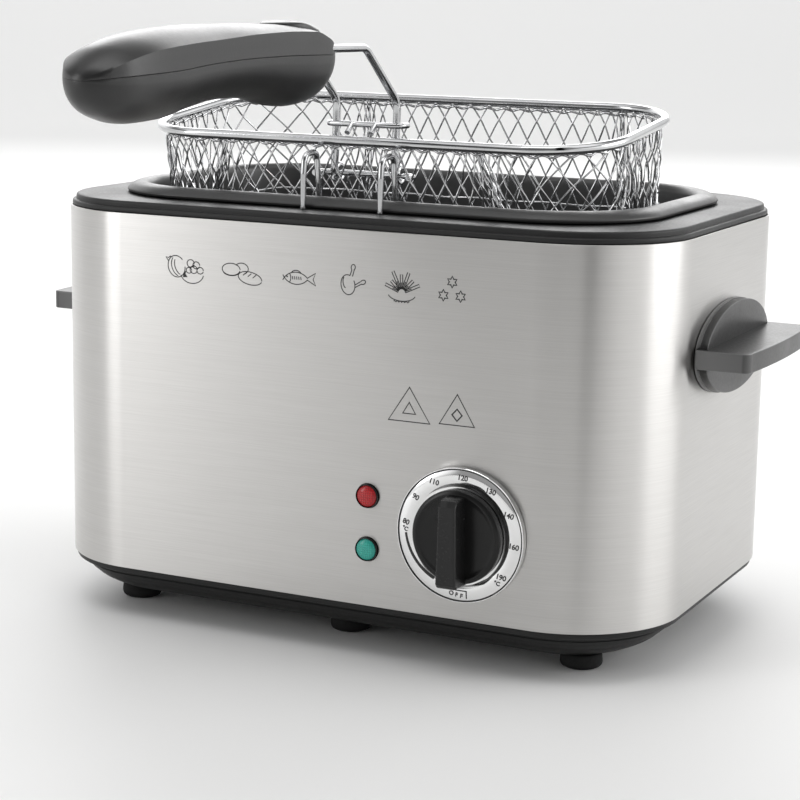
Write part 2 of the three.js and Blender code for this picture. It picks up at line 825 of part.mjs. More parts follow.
function buildBasketWires() {
  for (const [name, sign] of mirrored) {
    const x = hook.x + sign * hook.spread;
    const clear = gap + hook.wire + 0.6;
    const route = [
      vector(x, frontWallY(hook.lowEnd) - clear, hook.lowEnd),
      vector(x, hook.back, hook.top - 6),
      vector(x, hook.back - 0.4, hook.top),
      vector(x, hook.front + 0.8, hook.top),
      vector(x, hook.front, hook.top - 8),
      vector(x, hook.front - 0.3, deck.top + gap),
    ];
    add(`basket_hook_${name}`, wire(bentPoints(route, 3.6), hook.wire), chromeWire);
  }
  const anchorY = frontWallY(handlePin.z) + basketWall.thickness + 0.8;
  const pinEnds = [handlePin.x - handlePin.half, handlePin.x + handlePin.half];
  const pin = [
    vector(pinEnds[0], anchorY, handlePin.z),
    vector(pinEnds[0], handlePin.y, handlePin.z),
    vector(pinEnds[1], handlePin.y, handlePin.z),
    vector(pinEnds[1], anchorY, handlePin.z),
  ];
  add("handle_pin_wire", wire(bentPoints(pin, 2.4), handlePin.wire), chromeWire);

  // The handle's legs lean on this wire, which is welded to the rim.
  const stop = { z: 197, y: -54.1, wire: 1.1, turnedBack: 5.5, spur: 5 };
  const reach = handle.leg + handle.wire + gap + stop.wire + 0.1;
  const cross = [
    vector(handlePin.x - reach, stop.y + stop.turnedBack, stop.z),
    vector(handlePin.x - reach, stop.y, stop.z),
    vector(handlePin.x + reach, stop.y, stop.z),
    vector(handlePin.x + reach, stop.y + stop.turnedBack, stop.z),
  ];
  const spurs = [-stop.spur, stop.spur].map((dx) => {
    const x = handlePin.x + dx;
    return solid(wire([vector(x, stop.y, stop.z), vector(x, -58.2, 193.9)], stop.wire));
  });
  const crossWire = solid(wire(bentPoints(cross, 2.2), stop.wire));
  add("handle_stop_wire", join(crossWire, ...spurs), chromeWire);
}

// ---- folding handle ----

// One leg, from its eyelet to the far end of the grip; the legs stand a little to one side.
const legLine = (sign) => [
  vector(handlePin.x + sign * handle.leg, handlePin.y, handlePin.z + 2.9),
  vector(handlePin.x + sign * handle.leg, -51.6, 205.5),
  vector(sign * handle.leg, handle.shoulderY, handle.level - 0.2),
  vector(sign * handle.leg, handle.gripY, handle.level),
  vector(sign * 8.5, -150, 222.5),
  vector(sign * 8.5, -196, 216),
];

function handleWirePoints() {
  const [left, right] = [-1, 1].map((sign) => bentPoints(legLine(sign), 5));
  return [...right, vector(5, -204, 214.8), vector(-5, -204, 214.8), ...left.reverse()];
}

// The grip seen from the side, as [y, z]; its two halves meet along the parting line.
const crown = [
  [-238, 226], [-230, 230.6], [-216, 233.1], [-196, 234.8], [-174, 235.6], [-150, 235.6],
  [-128, 235.1], [-112, 236.4], [-103, 236.6], [-96, 234.6], [-92.4, 230],
];
const belly = [
  [-93, 221], [-98, 212], [-107, 207.6], [-117, 206.6], [-129, 207.8], [-140, 210],
  [-153, 211], [-168, 210.7], [-184, 208.8], [-201, 206.1], [-216, 205.6], [-229, 208],
  [-237, 213], [-240, 219],
];
const partingLine = [
  [-250, 220.6], [-227, 221.6], [-203, 223.2], [-180, 225], [-154, 226], [-130, 225.9],
  [-104, 225.2], [-80, 224.8],
];

function buildHandle() {
  const eyelet = new THREE.Shape().absarc(handlePin.y, handlePin.z, 4.3, 0, 2 * Math.PI);
  const bore = new THREE.Path().absarc(handlePin.y, handlePin.z, 1.65, 0, 2 * Math.PI);
  eyelet.holes.push(bore);
  const eyelets = [-handle.leg, handle.leg].map((dx) => {
    const x = handlePin.x + dx;
    return solid(pulledX(eyelet, x - handle.wire, x + handle.wire, 8));
  });
  const points = handleWirePoints();
  add("handle_wire", join(solid(wire(points, handle.wire)), ...eyelets), chromeWire);

  const outline = flatShape([...crown, ...belly]);
  const { half, round } = grip;
  const slab = new THREE.ExtrudeGeometry(outline, {
    depth: 2 * (half - round - 1),
    bevelThickness: round + 1,
    bevelSize: round,
    bevelOffset: -round,
    bevelSegments: 2,
  })
    .applyMatrix4(alongX)
    .translate(-(half - round - 1), 0, 0);
  const plan = new THREE.Shape();
  plan.moveTo(0, grip.inner);
  plan.bezierCurveTo(12, grip.inner, 15, -98, 15, -108);
  plan.bezierCurveTo(15, -125, 12.6, -140, 12.8, -165);
  plan.bezierCurveTo(13, -185, 14.6, -195, 14.4, -212);
  plan.bezierCurveTo(14.2, -232, 9, grip.outer, 0, grip.outer);
  plan.bezierCurveTo(-9, grip.outer, -14.2, -232, -14.4, -212);
  plan.bezierCurveTo(-14.6, -195, -13, -185, -12.8, -165);
  plan.bezierCurveTo(-12.6, -140, -15, -125, -15, -108);
  plan.bezierCurveTo(-15, -98, -12, grip.inner, 0, grip.inner);
  const whole = solid(slab).intersect(solid(pulledZ(plan, 190, 250, 8)));
  const channel = solid(wire(points, handle.wire + 0.35));
  const below = (lift) => {
    const seam = partingLine.map(([y, z]) => [y, z + lift]);
    return solid(pulledX(flatShape([...seam, [-80, 190], [-250, 190]]), -20, 20));
  };
  const screws = { ys: [-128, -214], shaft: 1.5, hole: 1.9, head: 3 };
  const wells = screws.ys.flatMap((y) => [
    solid(turnedUp(rod(screws.hole, 200, 229), 12).translate(0, y, 0)),
    solid(turnedUp(rod(screws.head + gap, 200, 213), 14).translate(0, y, 0)),
  ]);
  add("grip_upper", cut(whole, below(gap / 2), channel, ...wells), gripPlastic);
  add("grip_lower", cut(whole.intersect(below(-gap / 2)), channel, ...wells), gripPlastic);
  screws.ys.forEach((y, i) => {
    const profileUp = [
      [0, 210.4],
      [screws.head, 210.4],
      [screws.head, 212.7],
      [screws.shaft, 212.7],
      [screws.shaft, 228.6],
      [0, 228.6],
    ];
    add(`grip_screw_${i + 1}`, turnedUp(profileUp, 12).translate(0, y, 0), platedSteel);
  });
}

buildShell();
buildTopFrame();
buildTray();
buildBaseFixings();
buildSideHandles();
buildPot();
buildHeating();
buildDial();
buildSensor();
buildLamps();
buildSupply();
buildBasket();
buildBasketWires();
buildHandle();

// The origin is on the floor under the middle of the whole object.
const extent = new THREE.Box3().setFromObject(fryer, true);
fryer.children.forEach((child) => (child.position.y -= (extent.min.y + extent.max.y) / 2));

export default fryer;
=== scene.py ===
import math
import bmesh
import bpy
import numpy as np
from mathutils import Matrix, Vector
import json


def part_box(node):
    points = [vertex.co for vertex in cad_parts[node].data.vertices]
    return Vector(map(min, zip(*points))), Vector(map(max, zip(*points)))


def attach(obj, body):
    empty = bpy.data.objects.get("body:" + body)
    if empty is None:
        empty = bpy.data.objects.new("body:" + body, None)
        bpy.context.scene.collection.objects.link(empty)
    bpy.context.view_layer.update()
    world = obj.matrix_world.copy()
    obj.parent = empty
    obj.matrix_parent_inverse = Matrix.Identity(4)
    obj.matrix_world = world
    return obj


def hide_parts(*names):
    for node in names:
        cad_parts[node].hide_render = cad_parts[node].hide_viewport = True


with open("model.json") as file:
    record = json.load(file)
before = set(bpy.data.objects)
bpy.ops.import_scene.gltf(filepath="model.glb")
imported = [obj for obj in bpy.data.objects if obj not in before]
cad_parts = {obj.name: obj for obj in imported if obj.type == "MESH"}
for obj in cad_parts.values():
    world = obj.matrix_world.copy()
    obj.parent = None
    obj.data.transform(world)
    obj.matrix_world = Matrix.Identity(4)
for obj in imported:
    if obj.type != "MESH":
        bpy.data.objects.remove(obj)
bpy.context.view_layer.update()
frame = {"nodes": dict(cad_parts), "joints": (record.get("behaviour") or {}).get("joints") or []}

mm = 0.001  # sizes below are in millimetres, and meshes are made in metres
scene = bpy.context.scene
print("frame loaded:", len(frame["nodes"]), "nodes")


# small tools

def nodeBox(node):
    low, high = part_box(node)
    return np.array(low) / mm, np.array(high) / mm


def nodeMiddle(node):
    low, high = nodeBox(node)
    return (low + high) / 2


def newPiece(name, points, faces, edges=()):
    mesh = bpy.data.meshes.new(name)
    mesh.from_pydata([tuple(p) for p in np.asarray(points, float) * mm], list(edges), faces)
    mesh.update()
    piece = bpy.data.objects.new(name, mesh)
    scene.collection.objects.link(piece)
    return piece


def rounded(piece, angle=32):
    piece.data.shade_smooth()
    piece.data.set_sharp_from_angle(angle=math.radians(angle))
    return piece


def bakeModifiers(piece):
    bpy.context.view_layer.update()
    graph = bpy.context.evaluated_depsgraph_get()
    made = bpy.data.meshes.new_from_object(piece.evaluated_get(graph))
    piece.modifiers.clear()
    old = piece.data
    piece.data = made
    bpy.data.meshes.remove(old)
    return piece


def combine(piece, others, how):
    for other in others:
        step = piece.modifiers.new("combine", "BOOLEAN")
        step.operation = how
        step.object = other
        step.solver = "EXACT"
    bakeModifiers(piece)
    for other in others:
        bpy.data.objects.remove(other)
    return piece


def joinMeshes(name, pieces):
    whole = bmesh.new()
    for piece in pieces:
        whole.from_mesh(piece.data)
        bpy.data.objects.remove(piece)
    mesh = bpy.data.meshes.new(name)
    whole.to_mesh(mesh)
    whole.free()
    made = bpy.data.objects.new(name, mesh)
    scene.collection.objects.link(made)
    return made


def finishPiece(piece, body, nodes, look):
    piece.data.materials.clear()
    piece.data.materials.append(look)
    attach(piece, body)
    if nodes:
        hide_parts(*nodes)
    return piece


def throughPoints(xs, ys):
    # a smooth line through its points that never swings past them
    xs, ys = np.array(xs, float), np.array(ys, float)
    widths = np.diff(xs)
    slopes = np.diff(ys) / widths
    tangents = np.empty(len(xs))
    tangents[0], tangents[-1] = slopes[0], slopes[-1]
    for i in range(1, len(xs) - 1):
        before, after = slopes[i - 1], slopes[i]
        tangents[i] = 0 if before * after <= 0 else 2 * before * after / (before + after)

    def at(x):
        i = int(np.clip(np.searchsorted(xs, x) - 1, 0, len(widths) - 1))
        t = (x - xs[i]) / widths[i]
        rise = (2 * t**3 - 3 * t**2 + 1) * ys[i] + (3 * t**2 - 2 * t**3) * ys[i + 1]
        bend = (t**3 - 2 * t**2 + t) * tangents[i] + (t**3 - t**2) * tangents[i + 1]
        return rise + bend * widths[i]

    return at


def roundOff(corners, radii, closed=True, steps=4, measure=lambda p: p):
    # swaps each corner of a line for a short curve; measure says how far apart two corners are
    corners = [np.array(c, float) for c in corners]
    count = len(corners)
    line = []
    for i, (corner, radius) in enumerate(zip(corners, radii)):
        ends = not closed and i in (0, count - 1)
        if ends or radius == 0:
            line.append(corner)
            continue
        before, after = corners[i - 1], corners[(i + 1) % count]
        back = radius / np.linalg.norm(measure(before) - measure(corner))
        ahead = radius / np.linalg.norm(measure(after) - measure(corner))
        start, end = corner + (before - corner) * back, corner + (after - corner) * ahead
        for k in range(steps + 1):
            t = k / steps
            line.append((1 - t) ** 2 * start + 2 * t * (1 - t) * corner + t**2 * end)
    return line


def loft(name, rings, closed=False):
    # skins a wall over rings of points; an open stack gets a flat cap at both ends
    rings = [np.asarray(ring, float) for ring in rings]
    around = len(rings[0])
    faces = []
    for band in range(len(rings) if closed else len(rings) - 1):
        low, high = band * around, (band + 1) % len(rings) * around
        for i in range(around):
            j = (i + 1) % around
            faces.append((low + i, low + j, high + j, high + i))
    if not closed:
        faces.append(tuple(range(around - 1, -1, -1)))
        faces.append(tuple(range((len(rings) - 1) * around, len(rings) * around)))
    piece = newPiece(name, np.concatenate(rings), faces)
    return pointOutwards(piece)


def pointOutwards(piece):
    whole = bmesh.new()
    whole.from_mesh(piece.data)
    bmesh.ops.remove_doubles(whole, verts=whole.verts, dist=0.002 * mm)
    bmesh.ops.dissolve_degenerate(whole, edges=whole.edges, dist=0.001 * mm)
    bmesh.ops.recalc_face_normals(whole, faces=whole.faces)
    if whole.calc_volume(signed=True) < 0:
        bmesh.ops.reverse_faces(whole, faces=whole.faces)
    whole.to_mesh(piece.data)
    whole.free()
    return piece


def roundedBox(width, depth, corner, z, middle, steps=18):
    ring = []
    for quarter in range(4):
        signX = 1 if quarter in (0, 3) else -1
        signY = 1 if quarter < 2 else -1
        for step in range(steps + 1):
            angle = (quarter + step / steps) * math.pi / 2
            x = middle[0] + signX * (width / 2 - corner) + corner * math.cos(angle)
            y = middle[1] + signY * (depth / 2 - corner) + corner * math.sin(angle)
            ring.append((x, y, z))
    return ring


def inwards(outline, amount, z):
    width, depth, corner = outline
    return (width - 2 * amount, depth - 2 * amount, corner - amount, z)


def wallStack(name, levels, radii, middle, closed=False, steps=18, bend=4):
    # levels are (width, depth, corner, z), and radii round the profile where they are not 0
    line = roundOff(levels, radii, closed, bend, lambda p: np.array((p[0] / 2, p[3])))
    rings = [roundedBox(*level, middle, steps) for level in line]
    return loft(name, rings, closed)


def turned(name, profile, middle, axis="z", steps=48):
    # turns (radius, height) pairs about an axis through middle; height is along the axis
    line = [tuple(p) for p in profile]
    closed = line[0][0] > 0 or line[-1][0] > 0
    points, rows = [], []
    for radius, height in line:
        row = []
        for k in range(1 if radius <= 1e-6 else steps):
            angle = 2 * math.pi * k / steps
            a, b = radius * math.cos(angle), radius * math.sin(angle)
            row.append(len(points))
            spot = {"z": (a, b, height), "y": (a, height, b), "x": (height, a, b)}[axis]
            points.append(np.array(middle, float) + spot)
        rows.append(row)
    faces = []
    for i in range(len(rows) if closed else len(rows) - 1):
        low, high = rows[i], rows[(i + 1) % len(rows)]
        for k in range(steps):
            ring = []
            for row, index in ((low, k), (low, k + 1), (high, k + 1), (high, k)):
                vertex = row[index % len(row)]
                if vertex not in ring:
                    ring.append(vertex)
            if len(ring) > 2:
                faces.append(tuple(ring))
    return pointOutwards(newPiece(name, points, faces))


def prism(name, outline, low, high, axis):
    # a flat outline pulled out along an axis, from low to high
    order = {"x": lambda a, b, c: (c, a, b), "y": lambda a, b, c: (a, c, b)}
    order["z"] = lambda a, b, c: (a, b, c)
    rings = [[order[axis](a, b, c) for a, b in outline] for c in (low, high)]
    return loft(name, rings)


def grownOutline(outline, amount):
    # the same closed outline, moved outwards by amount
    points = np.asarray(outline, float)
    area = np.sum(points[:, 0] * np.roll(points[:, 1], -1) - points[:, 1] * np.roll(points[:, 0], -1))
    along = np.roll(points, -1, 0) - np.roll(points, 1, 0)
    normals = np.stack([along[:, 1], -along[:, 0]], 1) * np.sign(area)
    normals /= np.linalg.norm(normals, axis=1)[:, None]
    return points + normals * amount


# node trees

def addNode(tree, kind, inputs=None, **settings):
    node = tree.nodes.new(kind)
    for key, value in settings.items():
        setattr(node, key, value)
    for key, value in (inputs or {}).items():
        found = [s for s in node.inputs if key in (s.identifier, s.name)]
        if isinstance(value, bpy.types.NodeSocket):
            tree.links.new(value, found[0])
        else:
            found[0].default_value = value
    return node


def newGroup(name, kind, inputs, outputs):
    tree = bpy.data.node_groups.new(name, kind)
    for label, socketType, value in inputs:
        socket = tree.interface.new_socket(label, in_out="INPUT", socket_type=socketType)
        if value is not None:
            socket.default_value = value
    for label, socketType in outputs:
        tree.interface.new_socket(label, in_out="OUTPUT", socket_type=socketType)
    start, end = tree.nodes.new("NodeGroupInput"), tree.nodes.new("NodeGroupOutput")
    return tree, start.outputs, end.inputs


def vectorMaths(tree, operation, first, second=None, scale=None):
    given = {"Vector": first, "Vector_001": second, "Scale": scale}
    given = {key: value for key, value in given.items() if value is not None}
    node = addNode(tree, "ShaderNodeVectorMath", operation=operation)
    for key, value in given.items():
        socket = next(s for s in node.inputs if s.identifier == key)
        if isinstance(value, bpy.types.NodeSocket):
            tree.links.new(value, socket)
        else:
            socket.default_value = value
    return node.outputs["Value" if operation == "LENGTH" else "Vector"]


number, colour, geometry = "NodeSocketFloat", "NodeSocketColor", "NodeSocketGeometry"


def makeWireTree():
    # bends a line at its corners and gives it a round section
    tree, given, result = newGroup(
        "bentWire",
        "GeometryNodeTree",
        [
            ("Line", geometry, None),
            ("Radius", number, 0.001),
            ("Bend", number, 0.002),
            ("Sides", "NodeSocketInt", 16),
            ("Wobble", number, 0.0),
            ("Seed", number, 0.0),
            ("Finish", "NodeSocketMaterial", None),
        ],
        [("Wire", geometry)],
    )
    curve = addNode(tree, "GeometryNodeMeshToCurve", {"Mesh": given["Line"]})
    fillet = addNode(
        tree,
        "GeometryNodeFilletCurve",
        {"Curve": curve.outputs["Curve"], "Count": 5, "Radius": given["Bend"], "Limit Radius": True},
        mode="POLY",
    )
    noise = addNode(
        tree,
        "ShaderNodeTexNoise",
        {"Scale": 140.0, "Detail": 1.0, "W": given["Seed"]},
        noise_dimensions="4D",
    )
    centred = vectorMaths(tree, "SUBTRACT", noise.outputs["Color"], (0.5, 0.5, 0.5))
    shift = vectorMaths(tree, "SCALE", centred, scale=given["Wobble"])
    moved = addNode(
        tree, "GeometryNodeSetPosition", {"Geometry": fillet.outputs["Curve"], "Offset": shift}
    )
    section = addNode(
        tree,
        "GeometryNodeCurvePrimitiveCircle",
        {"Resolution": given["Sides"], "Radius": given["Radius"]},
    )
    path, profile = moved.outputs["Geometry"], section.outputs["Curve"]
    skin = addNode(
        tree,
        "GeometryNodeCurveToMesh",
        {"Curve": path, "Profile Curve": profile, "Fill Caps": True},
    )
    smooth = addNode(tree, "GeometryNodeSetShadeSmooth", {"Geometry": skin.outputs["Mesh"]})
    real = addNode(tree, "GeometryNodeRealizeInstances", {"Geometry": smooth.outputs["Geometry"]})
    done = addNode(
        tree,
        "GeometryNodeSetMaterial",
        {"Geometry": real.outputs["Geometry"], "Material": given["Finish"]},
    )
    tree.links.new(done.outputs["Geometry"], result["Wire"])
    return tree


wireTree = makeWireTree()


def runTree(piece, tree, values):
    # sets a tree's inputs by their identifiers, then keeps its result as a plain mesh
    step = piece.modifiers.new(tree.name, "NODES")
    step.node_group = tree
    for item in tree.interface.items_tree:
        if item.item_type == "SOCKET" and item.in_out == "INPUT" and item.name in values:
            step[item.identifier] = values[item.name]
    return bakeModifiers(piece)


def wirePiece(name, lines, radius, look, bend=0.0, sides=16, closed=False, wobble=0.0):
    points, edges = [], []
    for line in lines:
        start = len(points)
        points.extend(line)
        edges.extend((start + i, start + i + 1) for i in range(len(line) - 1))
        if closed:
            edges.append((len(points) - 1, start))
    piece = newPiece(name, points, [], edges)
    values = {
        "Radius": radius * mm,
        "Bend": bend * mm,
        "Sides": sides,
        "Wobble": wobble * mm,
        "Seed": 4.0,
        "Finish": look,
    }
    runTree(piece, wireTree, values)
    return pointOutwardsEach(piece)


def pointOutwardsEach(piece):
    whole = bmesh.new()
    whole.from_mesh(piece.data)
    bmesh.ops.recalc_face_normals(whole, faces=whole.faces)
    whole.to_mesh(piece.data)
    whole.free()
    return piece


# finishes

def mixColours(tree, factor, first, second):
    mix = tree.nodes.new("ShaderNodeMix")
    mix.data_type = "RGBA"
    for key, value in (("Factor_Float", factor), ("A_Color", first), ("B_Color", second)):
        socket = next(s for s in mix.inputs if s.identifier == key)
        if isinstance(value, bpy.types.NodeSocket):
            tree.links.new(value, socket)
        else:
            socket.default_value = value
    return next(s for s in mix.outputs if s.identifier == "Result_Color")


def mapped(tree, value, low, high, toLow, toHigh):
    node = addNode(
        tree,
        "ShaderNodeMapRange",
        {"Value": value, "From Min": low, "From Max": high, "To Min": toLow, "To Max": toHigh},
    )
    return node.outputs["Result"]


def maths(tree, operation, first, second=0.0):
    node = tree.nodes.new("ShaderNodeMath")
    node.operation = operation
    for socket, value in zip(node.inputs, (first, second)):
        if isinstance(value, bpy.types.NodeSocket):
            tree.links.new(value, socket)
        else:
            socket.default_value = value
    return node.outputs[0]


def objectPlace(tree):
    return addNode(tree, "ShaderNodeTexCoord").outputs["Object"]


def noiseValue(tree, place, scale, detail):
    values = {"Vector": place, "Scale": scale, "Detail": detail}
    return addNode(tree, "ShaderNodeTexNoise", values).outputs["Fac"]


def makeToneGroup():
    # slow drift between two tones, with edges painted lighter: partly rubbed wear, partly a painted
    # highlight along the edges
    tree, given, result = newGroup(
        "toneWithWornHighlitEdges",
        "ShaderNodeTree",
        [
            ("Tone", colour, None),
            ("Other Tone", colour, None),
            ("Worn And Highlit Edge Tone", colour, None),
            ("Scale", number, 30.0),
            ("Edge Wear And Highlight", number, 0.2),
            ("Smooth", number, 0.3),
            ("Dull", number, 0.5),
        ],
        [("Colour", colour), ("Roughness", number)],
    )
    place = objectPlace(tree)
    cloud = noiseValue(tree, place, given["Scale"], 4.0)
    drift = mapped(tree, cloud, 0.35, 0.65, 0.0, 1.0)
    # sharp edges painted lighter by pointiness: a painted highlight, partly rubbed wear
    edge = addNode(tree, "ShaderNodeNewGeometry").outputs["Pointiness"]
    edge = maths(tree, "MULTIPLY", mapped(tree, edge, 0.505, 0.56, 0.0, 1.0), given["Edge Wear And Highlight"])
    toned = mixColours(tree, drift, given["Tone"], given["Other Tone"])
    tree.links.new(mixColours(tree, edge, toned, given["Worn And Highlit Edge Tone"]), result["Colour"])
    fine = noiseValue(tree, place, 900.0, 3.0)
    broadPart = maths(tree, "MULTIPLY", cloud, 0.6)
    both = maths(tree, "ADD", broadPart, maths(tree, "MULTIPLY", fine, 0.4))
    tree.links.new(mapped(tree, both, 0.35, 0.65, given["Smooth"], given["Dull"]), result["Roughness"])
    return tree


def makeGrainGroup():
    # moulded or cast texture: soft grain with small pits
    tree, given, result = newGroup(
        "mouldedGrain",
        "ShaderNodeTree",
        [("Scale", number, 1500.0), ("Pits", number, 0.3)],
        [("Height", number)],
    )
    place = objectPlace(tree)
    grain = noiseValue(tree, place, given["Scale"], 2.0)
    cells = addNode(tree, "ShaderNodeTexVoronoi", {"Vector": place, "Scale": given["Scale"]})
    pits = maths(tree, "MULTIPLY", cells.outputs["Distance"], given["Pits"])
    tree.links.new(maths(tree, "ADD", grain, pits), result["Height"])
    return tree


def makeBrushGroup():
    # fine lines run level round the housing, short and overlapping
    tree, given, result = newGroup(
        "levelBrushing",
        "ShaderNodeTree",
        [
            ("Tone", colour, None),
            ("Line Tone", colour, None),
            ("Along", number, 25.0),
            ("Across", number, 3000.0),
            ("Smooth", number, 0.24),
            ("Dull", number, 0.42),
        ],
        [("Colour", colour), ("Roughness", number), ("Height", number)],
    )
    place = objectPlace(tree)
    split = addNode(tree, "ShaderNodeSeparateXYZ", {"Vector": place})
    joined = tree.nodes.new("ShaderNodeCombineXYZ")
    for axis, scale in (("X", "Along"), ("Y", "Along"), ("Z", "Across")):
        tree.links.new(maths(tree, "MULTIPLY", split.outputs[axis], given[scale]), joined.inputs[axis])
    spot = joined.outputs[0]
    lines = noiseValue(tree, spot, 1.0, 5.0)
    broad = noiseValue(tree, spot, 0.13, 3.0)
    tone = mapped(tree, lines, 0.3, 0.7, 0.0, 1.0)
    tree.links.new(mixColours(tree, tone, given["Tone"], given["Line Tone"]), result["Colour"])
    finePart = maths(tree, "MULTIPLY", lines, 0.7)
    both = maths(tree, "ADD", finePart, maths(tree, "MULTIPLY", broad, 0.3))
    tree.links.new(mapped(tree, both, 0.35, 0.65, given["Smooth"], given["Dull"]), result["Roughness"])
    tree.links.new(both, result["Height"])
    return tree


toneGroup = makeToneGroup()
grainGroup = makeGrainGroup()
brushGroup = makeBrushGroup()


def shade(value, warmth=0.0):
    return (value * (1 + warmth), value, value * (1 - warmth), 1.0)


def newMaterial(name, metallic=0.0, **fixed):
    look = bpy.data.materials.new(name)
    look.use_nodes = True
    tree = look.node_tree
    shader = tree.nodes["Principled BSDF"]
    shader.inputs["Metallic"].default_value = metallic
    for key, value in fixed.items():
        shader.inputs[key.replace("_", " ")].default_value = value
    return look, tree, shader


def bumped(tree, shader, height, distance, strength=1.0):
    bump = addNode(
        tree, "ShaderNodeBump", {"Strength": strength, "Distance": distance * mm, "Height": height}
    )
    tree.links.new(bump.outputs["Normal"], shader.inputs["Normal"])


def toneMaterial(
    name, tone, other, wornHighlitEdgeTone, rub, smooth, dull, grain, pits, depth, metallic=0.0, scale=30.0, **fixed
):
    look, tree, shader = newMaterial(name, metallic, **fixed)
    toneNode = addNode(tree, "ShaderNodeGroup", node_tree=toneGroup)
    # the edge tone and its strength paint lighter edges: a painted highlight, partly wear
    values = {"Tone": tone, "Other Tone": other, "Worn And Highlit Edge Tone": wornHighlitEdgeTone, "Scale": scale}
    values.update({"Edge Wear And Highlight": rub, "Smooth": smooth, "Dull": dull})
    for key, value in values.items():
        toneNode.inputs[key].default_value = value
    grainNode = addNode(tree, "ShaderNodeGroup", node_tree=grainGroup)
    grainNode.inputs["Scale"].default_value = grain
    grainNode.inputs["Pits"].default_value = pits
    tree.links.new(toneNode.outputs["Colour"], shader.inputs["Base Color"])
    tree.links.new(toneNode.outputs["Roughness"], shader.inputs["Roughness"])
    bumped(tree, shader, grainNode.outputs["Height"], depth)
    return look


def brushedMaterial(name, tone, lineTone, along, across, smooth, dull, depth, **fixed):
    look, tree, shader = newMaterial(name, 1.0, **fixed)
    brush = addNode(tree, "ShaderNodeGroup", node_tree=brushGroup)
    values = {"Tone": tone, "Line Tone": lineTone, "Along": along, "Across": across}
    values.update({"Smooth": smooth, "Dull": dull})
    for key, value in values.items():
        brush.inputs[key].default_value = value
    tree.links.new(brush.outputs["Colour"], shader.inputs["Base Color"])
    tree.links.new(brush.outputs["Roughness"], shader.inputs["Roughness"])
    bumped(tree, shader, brush.outputs["Height"], depth)
    return look


def lensMaterial(name, tone, deep):
    # a clear coloured dome with a beaded back
    look, tree, shader = newMaterial(
        name, 0.0, Coat_Weight=0.6, Coat_Roughness=0.08, Emission_Color=tone, Emission_Strength=0.1,
        Specular_IOR_Level=0.35,
    )
    place = objectPlace(tree)
    values = {"Vector": place, "Scale": 1150.0, "Randomness": 0.15}
    beads = addNode(tree, "ShaderNodeTexVoronoi", values)
    bead = mapped(tree, beads.outputs["Distance"], 0.0, 0.55, 1.0, 0.0)
    tree.links.new(mixColours(tree, bead, deep, tone), shader.inputs["Base Color"])
    tree.links.new(mapped(tree, bead, 0.0, 1.0, 0.45, 0.16), shader.inputs["Roughness"])
    bumped(tree, shader, bead, 0.25)
    return look


def printMaterial():
    look, tree, shader = newMaterial("printedInk")
    place = objectPlace(tree)
    ink = noiseValue(tree, place, 2500.0, 2.0)
    tone = mixColours(tree, ink, shade(0.012), shade(0.035))
    tree.links.new(tone, shader.inputs["Base Color"])
    tree.links.new(mapped(tree, ink, 0.3, 0.7, 0.42, 0.6), shader.inputs["Roughness"])
    bumped(tree, shader, ink, 0.01)
    return look


